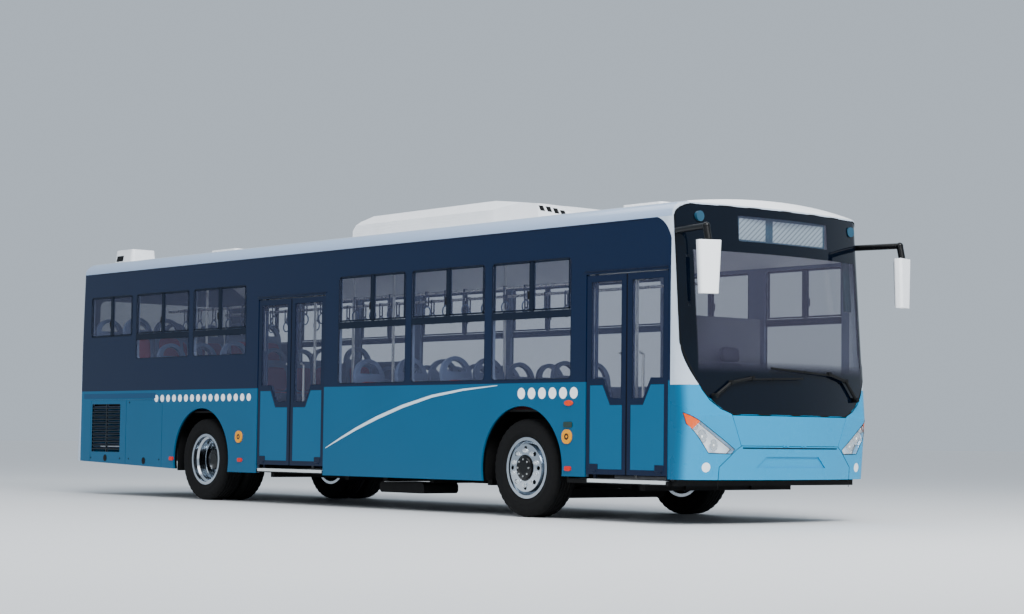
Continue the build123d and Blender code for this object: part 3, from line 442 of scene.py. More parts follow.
def marker_glass():
    """Pale blue round lamps at the top, clear fog lamps, amber side lamps with a dark ring, red reflectors."""
    shader = Shader("marker_glass", rgb(240, 150, 30), IOR=1.5)
    x, y, z = shader.xyz()
    nose = shader.above(x, along(2.15))
    high = shader.above(z, 2.0)
    clear = shader.either(nose, high)
    low = shader.below(z, 0.53)
    colour = shader.mix(low, rgb(222, 146, 0), rgb(196, 26, 10))
    for place, height in ((0.671, 0.785), (-4.97, 0.747)):
        far = shader.distance(shader.minus(x, along(place)), shader.minus(z, height))
        colour = shader.mix(shader.inside(far, 0.012, 0.032), colour, rgb(60, 34, 8))
    colour = shader.mix(clear, colour, shader.mix(high, rgb(226, 234, 238), rgb(34, 70, 90)))
    shader.colour(colour)
    shader.set("Emission Color", colour)
    shader.set("Emission Strength", 0.04)
    shader.bump(shader.cells(70.0), 0.2, 0.001)
    return shader.finish(0.04, 0.1, 9.0)


def mirror_paint():
    """White housings on black arms."""
    shader = Shader("mirror_paint", white, **body_gloss)
    x, y, z = shader.xyz()
    shader.colour(shader.mix(shader.above(z, 2.531), white, rgb(4, 5, 7)))
    return shader.finish(0.25, 0.4, 4.0)


def wheel_paint(name, middle):
    """Polished wheel with a dark hub end."""
    shader = Shader(name, rgb(190, 196, 202), Metallic=1.0)
    x, y, z = shader.xyz()
    hub = shader.below(shader.distance(shader.minus(x, middle), shader.minus(z, wheel_z)), 0.128)
    shader.colour(shader.mix(hub, chrome_grey, rgb(12, 13, 16)))
    shader.set("Metallic", shader.minus(1.0, shader.times(hub, 0.6)))
    shader.rough(0.1, 0.22, 30.0)
    shader.bump(shader.noise(60.0), 0.04, 0.0005)
    return shader.material


def floor_sheet():
    """Grey floor covering on top, and black below as painted shade under the bus."""
    shader = Shader("floor_sheet", rgb(98, 100, 104), **dull)
    facing = shader.node("ShaderNodeSeparateXYZ")
    shader.feed(facing.inputs[0], shader.node("ShaderNodeNewGeometry").outputs["Normal"])
    top = shader.above(facing.outputs["Z"], 0.5)
    sheet = shader.mix(shader.noise(90.0), rgb(86, 88, 92), rgb(104, 106, 110))
    # Faces that do not look up are black: painted shade under the bus.
    shader.colour(shader.mix(top, rgb(10, 10, 11), sheet))
    return shader.finish(0.6, 0.8, 30.0)


floor_shaded_below = floor_sheet()
trim_black = grained("trim_black", rgb(6, 7, 9), 0.5, 0.7, **dull)
rubber_black = grained("rubber_black", rgb(7, 8, 10), 0.7, 0.85, 500.0, **dull)
# The chassis, axles, knuckles and tanks are near black: painted shade under the bus.
frame_shade_black = grained("frame_shade_black", rgb(9, 9, 10), 0.6, 0.85, 120.0, **dull)
door_navy = varied("door_navy", navy_frame, 0.2, 0.3, 0.45, 5.0, **body_gloss).material
unit_white = grained("unit_white", rgb(236, 239, 243), 0.28, 0.42, 180.0, 0.05)
front_wheel_metal = wheel_paint("front_wheel_metal", axle_x)
rear_wheel_metal = wheel_paint("rear_wheel_metal", rear_x)
steel = brushed("rail_steel", rgb(208, 208, 206), 0.22, 0.34, (1, 1, 0.05))
chrome = brushed("bright_metal", rgb(235, 238, 240), 0.06, 0.14)
seat_shell = grained("seat_shell", rgb(72, 86, 114), 0.35, 0.5, 260.0)
driver_cloth = grained("driver_cloth", rgb(34, 36, 42), 0.8, 0.95, 900.0, 0.5)
dash_plastic = grained("dash_plastic", rgb(36, 37, 40), 0.5, 0.7)
partition_grey = grained("partition_panel", rgb(120, 124, 132), 0.4, 0.6, 150.0)
engine_grey = varied("engine_metal", rgb(84, 84, 86), 0.4, 0.5, 0.8, 12.0, Metallic=0.6).material
orange_lens = lamp_glass("orange_lens", rgb(216, 58, 6), 0.95, 0.04)
red_lens = lamp_glass("red_lens", rgb(176, 20, 22), 0.95, 0.1)
side_glass = glass("side_glass", rgb(84, 90, 118), 0.17)
bar_navy = grained("bar_navy", rgb(0, 15, 36), 0.4, 0.55, 300.0, 0.1, **dull)
rear_glass = glass("rear_glass", rgb(50, 54, 66), 0.55)

CAD_MATERIALS = {
    "chassis_frame": frame_shade_black, "body_floor": floor_shaded_below, "side_wall_right": side_paint("right_paint"),
    "side_wall_left": side_paint("left_paint"), "roof_shell": roof_paint(), "rear_wall": tail_paint(),
    "rear_bumper": tail_paint(), "front_mask": mask_paint(), "front_bumper": mask_paint(),
    "front_flap": mask_paint(), "windscreen": windscreen_glass(), "side_windows": side_glass,
    "window_bars": bar_navy, "rear_window": rear_glass, "destination_sign": sign_screen(),
    "headlamps": headlamp_glass(), "marker_lamps": marker_glass(), "tail_lamps": red_lens,
    "mirrors": mirror_paint(), "wipers": trim_black, "ac_unit": unit_white, "roof_hatches": unit_white,
    "passenger_seats": seat_shell, "driver_seat": driver_cloth, "dashboard": dash_plastic,
    "grab_rails": steel, "driver_partition": partition_grey, "engine": engine_grey, "axles": frame_shade_black,
    "door_gear": trim_black, "under_tanks": frame_shade_black, "engine_hatch": tail_paint(),
    "wheel_boxes": floor_shaded_below,
}
for hand in ("left", "right"):
    CAD_MATERIALS[f"knuckle_{hand}"] = frame_shade_black
    CAD_MATERIALS[f"wheel_front_{hand}"] = front_wheel_metal
    CAD_MATERIALS[f"wheels_rear_{hand}"] = rear_wheel_metal
    CAD_MATERIALS[f"tyre_front_{hand}"] = tyre_rubber()
    CAD_MATERIALS[f"tyres_rear_{hand}"] = tyre_rubber()
    for end in ("fore", "aft"):
        CAD_MATERIALS[f"side_flap_{hand}_{end}"] = side_paint(f"flap_paint_{hand}_{end}")
for door in ("front", "rear"):
    for end in ("fore", "aft"):
        CAD_MATERIALS[f"door_{door}_{end}"] = door_leaf_paint(f"door_{door}_{end}")
        CAD_MATERIALS[f"door_{door}_{end}_pane"] = side_glass
for name, material in CAD_MATERIALS.items():
    slots = nodes[name].material_slots
    for slot in slots:
        slot.material = material


class Form:
    """Collects closed shapes into one mesh."""

    def __init__(self):
        self.verts, self.faces = [], []

    def add(self, verts, faces):
        start = len(self.verts)
        self.verts += [tuple(vert) for vert in verts]
        self.faces += [tuple(start + index for index in face) for face in faces]

    def box(self, x, y, z, turn=None, middle=None):
        """A box between two places along each axis, turned about its middle if asked."""
        corners = [Vector((a, b, c)) for a in x for b in y for c in z]
        if turn is not None:
            middle = middle or Vector(((x[0] + x[1]) / 2, (y[0] + y[1]) / 2, (z[0] + z[1]) / 2))
            corners = [middle + turn @ (corner - middle) for corner in corners]
        self.add(corners, [(0, 1, 3, 2), (4, 6, 7, 5), (0, 4, 5, 1), (2, 3, 7, 6), (0, 2, 6, 4), (1, 5, 7, 3)])

    def rings(self, rings, closed=False):
        """A skin over rings of points, with its ends filled unless it closes on itself."""
        count = len(rings[0])
        verts = [point for ring in rings for point in ring]
        faces = []
        for index in range(len(rings) if closed else len(rings) - 1):
            here, there = index * count, (index + 1) % len(rings) * count
            for step in range(count):
                after = (step + 1) % count
                faces.append((here + step, here + after, there + after, there + step))
        if not closed:
            faces.append(tuple(reversed(range(count))))
            faces.append(tuple(range((len(rings) - 1) * count, len(rings) * count)))
        self.add(verts, faces)

    def tube(self, points, radius, sides=8, closed=False):
        """A round bar that follows points."""
        points = [Vector(point) for point in points]
        rings = []
        lift = None
        for index, point in enumerate(points):
            before = points[index - 1] if index or closed else point
            after = points[(index + 1) % len(points)] if closed or index < len(points) - 1 else point
            way = (after - before).normalized()
            side = way.orthogonal().normalized() if lift is None else (lift - way * lift.dot(way)).normalized()
            lift = side
            other = way.cross(side)
            rings.append([point + radius * (side * cos(angle) + other * sin(angle)) for angle in turns(sides)])
        self.rings(rings, closed)

    def lathe(self, profile, middle, segments=64, notch=0.0, every=3):
        """A ring turned about an axle along Y: points of radius, offset and whether notches cut them."""
        rings = []
        for index, angle in enumerate(turns(segments)):
            ring = []
            for radius, offset, *cut in profile:
                if cut and index % every == 0:
                    radius -= notch
                ring.append((middle[0] + radius * cos(angle), middle[1] + offset, middle[2] + radius * sin(angle)))
            rings.append(ring)
        self.rings(rings, closed=True)

    def prism(self, outline, y):
        """An outline of x and z points between two y places."""
        self.rings([[(x, place, z) for x, z in outline] for place in y])

    def bar(self, outline, x):
        """An outline of y and z points between two x places."""
        self.rings([[(place, y, z) for y, z in outline] for place in x])

    def make(self, name, material, body="root", slot="dark_trim", angle=35):
        mesh = bpy.data.meshes.new(name)
        mesh.from_pydata(self.verts, [], self.faces)
        mesh.validate()
        mesh.shade_smooth()
        mesh.set_sharp_from_angle(angle=radians(angle))
        made = bpy.data.objects.new(name, mesh)
        bpy.context.collection.objects.link(made)
        mesh.materials.append(material)
        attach(made, body)
        return made


def soften(piece, width, segments=2):
    """Rounds the edges of a piece."""
    bevel = piece.modifiers.new("edges", "BEVEL")
    bevel.width = width
    bevel.segments = segments
    bevel.limit_method = "ANGLE"
    return piece


def arc(middle, radius, start, end, steps):
    """Points of x and z along an arc, with angles in degrees."""
    return [(middle[0] + radius * cos(radians(start + (end - start) * step / steps)),
             middle[1] + radius * sin(radians(start + (end - start) * step / steps))) for step in range(steps + 1)]


def rounded(x, z, radius, steps=4):
    """A rectangle of x and z points with round corners."""
    corners = [((x[1] - radius, z[0] + radius), -90), ((x[1] - radius, z[1] - radius), 0),
               ((x[0] + radius, z[1] - radius), 90), ((x[0] + radius, z[0] + radius), 180)]
    return [point for middle, start in corners for point in arc(middle, radius, start, start + 90, steps)]


# The nose, as in the frame: its reach ahead of the axle, the curve across it, the round corners and the beak
nose_reach, front_curve = 2.445, 4.4
corner_start, corner_middle, corner_radius, corner_back = 1.1005, 1.0505, 0.2, 0.3335
beak_z, brow_lean, chin_lean = 0.985, radians(4.1), radians(-4.4)


def nose_x(y, z, depth=0.0):
    """The x place of the nose's outer face, curved across and leaning back from the beak."""
    across = abs(y)
    if across < corner_start:
        curve = front_curve - sqrt(front_curve ** 2 - across ** 2)
    else:
        curve = corner_back - sqrt(max(corner_radius ** 2 - (across - corner_middle) ** 2, 0.0))
    lean = brow_lean if z > beak_z else chin_lean
    return along(nose_reach) - curve - (z - beak_z) * tan(lean) - depth


# Tyres: a ribbed tread with notched shoulders and bulged side walls
def tyre_profile():
    half = [(0.2995, 0.1012), (0.312, 0.115), (0.336, 0.130), (0.345, 0.1325), (0.349, 0.1352), (0.356, 0.1352),
            (0.362, 0.1345), (0.40, 0.1372), (0.425, 0.1365), (0.445, 0.132), (0.458, 0.126, 1),
            (0.4690, 0.118, 1), (0.4755, 0.105, 1), (0.4778, 0.097, 1), (0.4778, 0.090)]
    grooves = []
    for middle in (0.060, 0.020):
        grooves += [(0.4778, middle + 0.007), (0.466, middle + 0.004), (0.466, middle - 0.004),
                    (0.4778, middle - 0.007)]
    upper = [(0.280, 0.088)] + half + grooves
    return upper + [(radius, -offset, *cut) for radius, offset, *cut in reversed(upper)]


tyre_black = tyre_rubber()
# Node, body, place of the axle and how far inwards each tyre of the node lies
TYRES = [
    ("tyre_front", "wheel_front", axle_x, (0.0,)),
    ("tyres_rear", "wheels_rear", rear_x, (0.0, twin_spacing)),
]
for hand, side in SIDES[::-1]:
    for node, body, middle, offsets in TYRES:
        tyres = Form()
        for offset in offsets:
            tyres.lathe(tyre_profile(), (middle, side * (wheel_y - offset), wheel_z), 120, 0.007, 3)
        grooved = tyres.make(f"grooved_{node}_{hand}", tyre_black, f"{body}_{hand}", "tyre_rubber", 50)
        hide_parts(f"{node}_{hand}")

# Wheel nuts: axle, radius of the circle, place of the seat from the wheel's middle and the body's name
NUT_RINGS = [
    (axle_x, 0.1675, 0.1265, "wheel_front"),
    (rear_x, 0.1675, -0.1440, "wheels_rear"),
]
# A nut's washer, its six flats and its stud: radius, sides, start and end from the seat
NUT_STEPS = [(0.0235, 20, 0.0, 0.008), (0.0185, 6, 0.007, 0.026), (0.0105, 12, 0.025, 0.036)]
for hand, side in SIDES[::-1]:
    for middle, ring, seat, body in NUT_RINGS:
        nuts = Form()
        base = side * (wheel_y + seat)
        for turn in turns(10, 0.5):
            nut = (middle + ring * cos(turn), wheel_z + ring * sin(turn))
            for radius, sides, start, end in NUT_STEPS:
                nuts.prism(circle(nut, radius, sides), (base + side * start, base + side * end))
        nuts.make(f"wheel_nuts_{body}_{hand}", chrome, f"{body}_{hand}", "wheel_metal")
    caps = Form()
    for bolt in circle((axle_x, wheel_z), 0.082, 8):
        caps.prism(circle(bolt, 0.0095, 6), (side * (wheel_y + 0.150), side * (wheel_y + 0.162)))
    caps.make(f"hub_bolts_{hand}", steel, f"wheel_front_{hand}", "wheel_metal")

# Side windows: rear end, front end and sill, from the front axle
WINDOWS = [
    (rear_axle_x - 2.646, rear_axle_x - 1.629, 1.983),
    (rear_axle_x - 1.532, rear_axle_x - 0.310, 1.696),
    (rear_axle_x - 0.217, rear_axle_x + 0.920, 1.696),
    (-3.056, -1.868, 1.335),
    (-1.769, -0.576, 1.335),
    (-0.465, 0.706, 1.335),
]
LEFT_ONLY = [(rear_axle_x + 1.030, rear_axle_x + 2.623, 1.335), (0.921, 1.950, 1.335)]
window_corner, window_seal, divider_share, grip_reach = 0.045, 0.0052, 0.51, 0.045
sash_gap, sash_inset, sash_width, sash_height = 0.006, 0.02, 0.02, 0.016
for (hand, side), windows in zip(SIDES, (WINDOWS, WINDOWS + LEFT_ONLY)):
    seals, sashes, latches = Form(), Form(), Form()
    glass_y = (side * (side_y - 0.0165), side * (side_y - 0.0035))
    for rear, front, sill in windows:
        loop = rounded((along(rear), along(front)), (sill, window_top_z), window_corner, 5)
        seals.tube([(x, glass_y[1], z) for x, z in loop], window_seal, 6, True)
        divider = rear + (front - rear) * divider_share
        foot = bar_z[1] if sill < bar_z[0] else sill
        for left, right in ((rear, divider), (divider, front)):
            low, high = foot + sash_gap, window_top_z - sash_gap
            inner, outer = left + sash_inset, right - sash_inset
            for x in ((inner, inner + sash_width), (outer - sash_width, outer)):
                sashes.box((along(x[0]), along(x[1])), glass_y, (low, high))
            for z in ((low, low + sash_height), (high - sash_height, high)):
                sashes.box((along(inner), along(outer)), glass_y, z)
        grip = divider + side * grip_reach
        latches.box((along(grip - 0.012), along(grip + 0.012)), (side * (side_y - 0.004), side * (side_y - 0.0015)),
                    (foot + 0.12, foot + 0.20))
    seals.make(f"window_seals_{hand}", bar_navy)
    sashes.make(f"window_sashes_{hand}", bar_navy)
    soften(latches.make(f"window_latches_{hand}", trim_black), 0.002)

# Rubber round the windscreen
outline = [(0.0, 1.003), (0.40, 1.003), (0.770, 1.003), (0.900, 1.052), (1.010, 1.128), (1.085, 1.220), (1.150, 1.345),
           (1.200, 1.490), (1.230, 1.640), (1.230, 2.05), (1.230, 2.45), (1.230, 2.795), (1.222, 2.840),
           (1.198, 2.873), (1.165, 2.893), (1.120, 2.905), (0.75, 2.905), (0.40, 2.905)]
loop = outline + [(0.0, 2.905)] + [(-y, z) for y, z in reversed(outline[1:])]
screen_seal = Form()
screen_seal.tube([(nose_x(y, z, 0.003), y, z) for y, z in loop], 0.006, 8, True)
screen_seal.make("windscreen_seal", rubber_black)

# Swoosh on both sides: points of x and z with the stripe's width
SWOOSH = [
    (-3.262, 0.636, 0.006), (-3.0, 0.738, 0.020), (-2.7, 0.848, 0.030), (-2.34, 0.963, 0.036), (-1.9, 1.082, 0.034),
    (-1.407, 1.185, 0.028), (-0.9, 1.246, 0.020), (-0.37, 1.282, 0.006),
]
stripe_white = varied("stripe_white", rgb(206, 226, 236), 0.05, 0.3, 0.4, 3.0).material
for hand, side in SIDES:
    swoosh = Form()
    top, low = [], []
    for index, (x, z, width) in enumerate(SWOOSH):
        before, after = SWOOSH[max(index - 1, 0)], SWOOSH[min(index + 1, len(SWOOSH) - 1)]
        way = Vector((after[0] - before[0], after[1] - before[1])).normalized()
        top.append((along(x) - way.y * width / 2, z + way.x * width / 2))
        low.append((along(x) + way.y * width / 2, z - way.x * width / 2))
    swoosh.prism(top + low[::-1], (side * side_y, side * (side_y + 0.001)))
    swoosh.make(f"swoosh_{hand}", stripe_white, "root", "body_paint")

# Orange lamps over the front wheel's marker, and the dark green box between them
for hand, side in SIDES:
    ovals = Form()
    ovals.prism([(along(0.692) + 0.062 * cos(turn), 1.103 + 0.027 * sin(turn)) for turn in turns(24)],
                (side * side_y, side * (side_y + 0.012)))
    soften(ovals.make(f"turn_lamp_{hand}", orange_lens, "root", "lamp_amber"), 0.004)
    socket = Form()
    socket.prism(rounded((along(0.62), along(0.742)), (0.872, 0.926), 0.012), (side * side_y, side * (side_y + 0.009)))
    soften(socket.make(f"side_socket_{hand}", grained("socket_green", rgb(10, 46, 40), 0.4, 0.6)), 0.002)

# Step strips at the doors, and the rubber edges where the leaves meet
step_white = grained("step_edge", rgb(206, 212, 214), 0.4, 0.6)
strip_top_z, leaf_z = 0.3935, (0.44, 2.298)
strips = Form()
for rear, front in ((0.949, 1.995), (rear_axle_x + 1.205, rear_axle_x + 2.455)):
    strips.box((along(rear), along(front)), (-side_y + 0.0045, -side_y + 0.055), (0.3895, strip_top_z))
    strips.box((along(rear), along(front)), (-side_y + 0.0035, -side_y + 0.0055), (0.362, strip_top_z))
soften(strips.make("step_strips", step_white, "root", "floor_sheet"), 0.001)
for name in DOOR_LEAVES:
    outer, free, way, step = leaf_edges(name)
    fingers, feet = Form(), Form()
    low, high = sorted((along(free), along(free + way * 0.0065)))
    fingers.box((low, high), (-side_y + 0.008, -side_y + 0.042), leaf_z)
    soften(fingers.make(f"{name}_edge", rubber_black, name, "dark_trim"), 0.003)
    x0 = outer + way * 0.05
    low, high = sorted((along(x0), along(x0 + way * 0.115)))
    feet.box((low, high), (-side_y + 0.002, -side_y + 0.0065), (0.475, 0.535))
    middle = (low + high) / 2
    feet.box((middle - 0.03, middle + 0.03), (-side_y, -side_y + 0.0065), (0.455, 0.475))
    soften(feet.make(f"{name}_pivot_cover", door_navy, name, "door_frame"), 0.003)
    seal = Form()
    low_z, step_z, top_z = door_pane_z
    pane = [(outer + way * door_edge, step_z), (outer + way * door_edge, top_z), (free - way * door_edge, top_z),
            (free - way * door_edge, low_z), (step + way * slope_run, low_z), (step, step_z)]
    seal.tube([(along(x), -side_y + 0.0115, z) for x, z in pane], 0.0055, 6, True)
    seal.make(f"{name}_pane_seal", bar_navy, name, "dark_trim")
    handle = Form()
    grip_x = along(free - way * 0.13)
    handle.tube([(grip_x, -side_y + 0.044, 0.98), (grip_x, -side_y + 0.085, 1.0), (grip_x, -side_y + 0.085, 1.55),
                 (grip_x, -side_y + 0.044, 1.57)], 0.013, 10)
    handle.make(f"{name}_handle", steel, name, "rail_steel")

# Headlamps: a pale housing behind each lens with three bright reflectors and their bulbs
lamp_pale = lamp_glass("lamp_housing", rgb(236, 240, 243), 1.0, 0.35)
bulb_glass = lamp_glass("bulb_glass", rgb(245, 246, 240), 0.9, 0.6)
LAMP_BACK = [(1.222, 1.000), (1.102, 0.930), (0.735, 0.686), (0.768, 0.650), (1.010, 0.655), (1.205, 0.905)]
REFLECTORS = [(1.055, 0.800, 0.060), (0.930, 0.722, 0.050), (1.130, 0.893, 0.036)]
bowl_depth = 0.036
for hand, side in SIDES:
    back, bowls, bulbs = Form(), Form(), Form()
    order = LAMP_BACK if side > 0 else LAMP_BACK[::-1]
    back.rings([[(nose_x(y, z, depth), side * y, z) for y, z in order] for depth in (0.075, 0.062)])
    for y, z, radius in REFLECTORS:
        front_x = nose_x(y, z, bowl_depth)
        rings = []
        for step in range(7):
            share = step / 6
            reach = radius * sqrt(1 - 0.86 * share)
            rings.append([(front_x - bowl_depth * share, side * y + reach * cos(a), z + reach * sin(a))
                          for a in turns(28)])
        bowls.rings(rings)
        bowls.tube([(front_x + 0.001, side * y + radius * cos(a), z + radius * sin(a)) for a in turns(28)],
                   0.003, 6, True)
        bulbs.rings([[(front_x + 0.002 - 0.012 * (1 - cos(t)), side * y + radius * 0.35 * sin(t) * cos(a),
                       z + radius * 0.35 * sin(t) * sin(a)) for a in turns(16)]
                     for t in (0.15, 0.6, 1.1, 1.57)])
    back.make(f"headlamp_back_{hand}", lamp_pale, "root", "lamp_clear")
    bowls.make(f"headlamp_bowls_{hand}", chrome, "root", "lamp_clear")
    bulbs.make(f"headlamp_bulbs_{hand}", bulb_glass, "root", "lamp_clear")

# Dark rubber in the seams of the nose: round the headlamps, beside the bumper and under the flap
LAMP_EDGE = [(1.232, 1.012), (1.102, 0.930), (0.730, 0.686), (0.768, 0.645), (1.010, 0.650), (1.215, 0.915)]
BUMPER_EDGE = [(0.660, 0.716), (0.712, 0.682), (0.771, 0.6297), (0.830, 0.5773), (0.890, 0.525), (0.892, 0.43),
               (0.8945, 0.338)]
seams = Form()


def between(points, pieces):
    """Points with steps put in along each line, so that a seam follows the curved nose."""
    return [(first[0] + (last[0] - first[0]) * step / pieces, first[1] + (last[1] - first[1]) * step / pieces)
            for first, last in zip(points, points[1:]) for step in range(pieces)] + [points[-1]]


for side in (-1, 1):
    around = between(LAMP_EDGE + LAMP_EDGE[:1], 4)[:-1]
    seams.tube([(nose_x(y, z, 0.0005), side * y, z) for y, z in around], 0.0032, 6, True)
    seams.tube([(nose_x(y, z, 0.0005), side * y, z) for y, z in between(BUMPER_EDGE, 3)], 0.0030, 6)
slot_line = between([(0.640, 0.699), (0.0, 0.699)], 8)
seams.tube([(nose_x(y, z, 0.003), y, z) for y, z in slot_line + [(-y, z) for y, z in slot_line[-2::-1]]], 0.0075, 8)
seams.make("nose_seams", rubber_black)

# Black mud flaps ahead of and behind the rear wheels, just past the arches
mud_reach, mud_thick, mud_y, mud_z = 0.604, 0.008, (0.60, side_y - 0.065), (0.335, 0.80)
flaps = Form()
for side in (-1, 1):
    for x in (rear_x - mud_reach - mud_thick, rear_x + mud_reach):
        flaps.box((x, x + mud_thick), sorted(side * y for y in mud_y), mud_z)
soften(flaps.make("mud_flaps", rubber_black), 0.003)

# Mirror glass on the sides of the housings that face the driver
mirror_glass = brushed("mirror_glass", rgb(210, 216, 222), 0.02, 0.04)
MIRROR_FACE = [(-0.076, 2.09), (0.076, 2.09), (0.096, 2.50), (-0.096, 2.50)]
for (hand, side), turn in zip(SIDES, (-28.0, 13.5)):
    spin = Matrix.Rotation(radians(turn), 3, "Z")
    middle = Vector((along(2.6), side * 1.33, 0))
    face = Form()
    face.rings([[middle + spin @ Vector((depth, across, z)) for across, z in MIRROR_FACE]
                for depth in (-0.0435, -0.0455)])
    soften(face.make(f"mirror_glass_{hand}", mirror_glass, "root", "mirror_shell"), 0.0008)

# Latches of the side flaps, and the fasteners at their corners
for hand, side in SIDES:
    for end, x, z in (("aft", -8.016, 0.462), ("fore", -7.081, 0.440)):
        lock = Form()
        lock.lathe([(0.0, 0.0), (0.040, 0.0), (0.043, side * 0.0015), (0.034, side * 0.0028), (0.0, side * 0.0028)],
                   (along(x), side * side_y, z), 28)
        for corner_x, corner_z in ((x - 0.36, 1.155), (x + 0.36, 1.155), (x - 0.36, 0.46), (x + 0.36, 0.46)):
            if end == "fore" or corner_z < 1.0:
                lock.lathe([(0.0, 0.0), (0.011, 0.0), (0.011, side * 0.002), (0.0, side * 0.0026)],
                           (along(corner_x), side * side_y, corner_z), 14)
        lock.make(f"flap_latch_{hand}_{end}", trim_black, f"side_flap_{hand}_{end}", "dark_trim")

# Air-conditioning unit: ribs along its sides and fan guards on top
rib_y, guard_z = 0.7985, 3.2105
ribs = Form()
for side in (-1, 1):
    for z in (3.02, 3.05, 3.08):
        ribs.tube([(along(x), side * rib_y, z) for x in (-3.40, -1.15)], 0.004, 6)
ribs.make("unit_ribs", unit_white, "root", "unit_white")
guards = Form()
for x in (-2.95, -2.35, -1.75):
    for radius in (0.20, 0.16, 0.12, 0.08, 0.04):
        guards.tube([(*point, guard_z) for point in circle((along(x), 0.0), radius, 32)], 0.0028, 6, True)
guards.make("fan_guards", trim_black)

# Slots in the unit's sides at the front, by rear end and top, and the opening of the rear roof unit
UNIT_SLOTS = [(-0.395, 3.116), (-0.325, 3.103), (-0.255, 3.084), (-0.187, 3.060)]
UNIT_SIDE = [(-1.0, 0.8), (-0.4, 0.715), (-0.12, 0.575), (0.06, 0.43)]  # place along the unit and half width


def unit_side(x):
    """The half width of the unit at a place along it, a little outside its skin."""
    for (rear, wide), (front, narrow) in zip(UNIT_SIDE, UNIT_SIDE[1:]):
        if x <= front:
            return wide + (narrow - wide) * (x - rear) / (front - rear) + 0.0015
    return UNIT_SIDE[-1][1]


slots = Form()
for side in (-1, 1):
    for x, top in UNIT_SLOTS:
        face = [(x, top), (x + 0.045, top - 0.008), (x + 0.066, top - 0.062), (x + 0.022, top - 0.054)]
        slots.rings([[(along(a), side * (unit_side(a) - depth), z) for a, z in face] for depth in (0.006, 0.0)])
    if side < 0:
        lean = tan(radians(8))
        slots.rings([[(rear_x + a, -0.941 + (z - 2.93) * lean - depth, z) for a, z in
                      ((-2.60, 2.975), (-2.44, 2.975), (-2.43, 3.045), (-2.59, 3.045))] for depth in (0.0, 0.004)])
slots.make("unit_slots", trim_black)

# Rain rails over the doors and along the roof's edge
rain = Form()
for side in (-1, 1):
    rain.box((along(-8.35), along(1.70)), (side * (side_y - 0.002), side * (side_y + 0.004)), (2.782, 2.790))
for rear, front in ((0.90, 2.03), (rear_axle_x + 1.16, rear_axle_x + 2.50)):
    rain.box((along(rear), along(front)), (-side_y - 0.010, -side_y + 0.001), (2.332, 2.340))
soften(rain.make("rain_rails", door_navy, "root", "body_paint"), 0.0015)

# Inside: ceiling ducts, light strips and hanging handles
duct_white = grained("duct_white", rgb(226, 230, 234), 0.4, 0.55, 200.0, 0.05)
# The four pieces of a handle's strap over its rail: half length, and places across and up
STRAP = [
    (0.012, (0.4475, 0.4505), (2.20, 2.352)),
    (0.012, (0.4095, 0.4125), (2.20, 2.352)),
    (0.012, (0.4095, 0.4505), (2.349, 2.352)),
    (0.010, (0.4100, 0.4500), (2.186, 2.204)),
]
ducts, lights, straps, rings = Form(), Form(), Form(), Form()
for side in (-1, 1):
    ducts.bar([(side * 1.185, 2.52), (side * 1.175, 2.76), (side * 1.02, 2.86), (side * 0.62, 2.90),
               (side * 0.60, 2.86), (side * 0.86, 2.70), (side * 1.10, 2.54)], (along(-8.35), along(1.95)))
    lights.box((along(-8.2), along(1.8)), (side * 0.66, side * 0.76), (2.795, 2.815),
               Matrix.Rotation(side * radians(-32), 3, "X"), Vector((0, side * 0.71, 2.80)))
    for index in range(21):
        x = along(-0.9 - index * 0.33)
        for half, y, z in STRAP:
            straps.box((x - half, x + half), (side * y[0], side * y[1]), z)
        rings.tube([(a, side * 0.43, b) for a, b in circle((x, 2.130), 0.058, 20)], 0.0075, 6, True)
strip_glass = lamp_glass("lamp_strip", rgb(240, 244, 248), 1.0, 0.6)
ducts.make("ceiling_ducts", duct_white, "root", "partition_panel")
lights.make("ceiling_lights", strip_glass, "root", "lamp_clear")
straps.make("handle_straps", grained("strap_grey", rgb(60, 64, 74), 0.7, 0.9))
rings.make("handle_rings", grained("ring_blue", rgb(50, 74, 110), 0.35, 0.5), "root", "seat_shell")

# Pads on the passenger seats: x, floor, cushion height over it and the y places, as in the frame
low_seat_z, cushion_z = 0.52, 0.44
PAIRS = (-0.98, -0.54, 0.54, 0.98)
SEATS = [
    (-1.1, low_seat_z, cushion_z, PAIRS),
    (-1.85, low_seat_z, cushion_z, PAIRS),
    (-2.6, low_seat_z, cushion_z, (-0.98, 0.54, 0.98)),
    (rear_axle_x + 2.29, low_seat_z, cushion_z, (0.54, 0.98)),
    (rear_axle_x + 1.54, low_seat_z, cushion_z, (0.54, 0.98)),
    (rear_axle_x + 0.42, 1.045, 0.19, (-0.9, 0.9)),
    (rear_axle_x - 0.30, 1.045, 0.19, (-0.9, 0.9)),
    (rear_axle_x - 0.88, 0.80, cushion_z, PAIRS),
    (rear_axle_x - 1.70, 1.15, cushion_z, PAIRS),
    (rear_axle_x - 2.40, 1.15, cushion_z, (-0.98, -0.54, 0.0, 0.54, 0.98)),
]


def crowned(form, half_x, half_y, thick, place, steps=8):
    """A pad whose top is crowned and whose edges pull in: place turns a point of x, y and height."""
    rings = []
    levels = [(0.0, 0.93), (0.35, 1.0), (0.70, 0.985), (0.88, 0.93), (0.97, 0.80), (1.0, 0.55), (1.02, 0.25)]
    for height, share in levels:
        ring = []
        for angle in turns(4 * steps, 0.5):
            bulge = (abs(cos(angle)) ** 5 + abs(sin(angle)) ** 5) ** (-1 / 5)
            x, y = cos(angle) * bulge * half_x * share, sin(angle) * bulge * half_y * share
            ring.append(place(x, y, height * thick))
        rings.append(ring)
    form.rings(rings)


seat_cloth = grained("seat_cloth", rgb(120, 44, 52), 0.75, 0.95, 700.0, 0.4)
pads = Form()
lean_back = Matrix.Rotation(radians(-8), 3, "Y")


def leant(depth, y, up):
    """A point of a seat's back, leant backwards about its foot."""
    return tuple(foot + lean_back @ Vector((depth, y, up)))


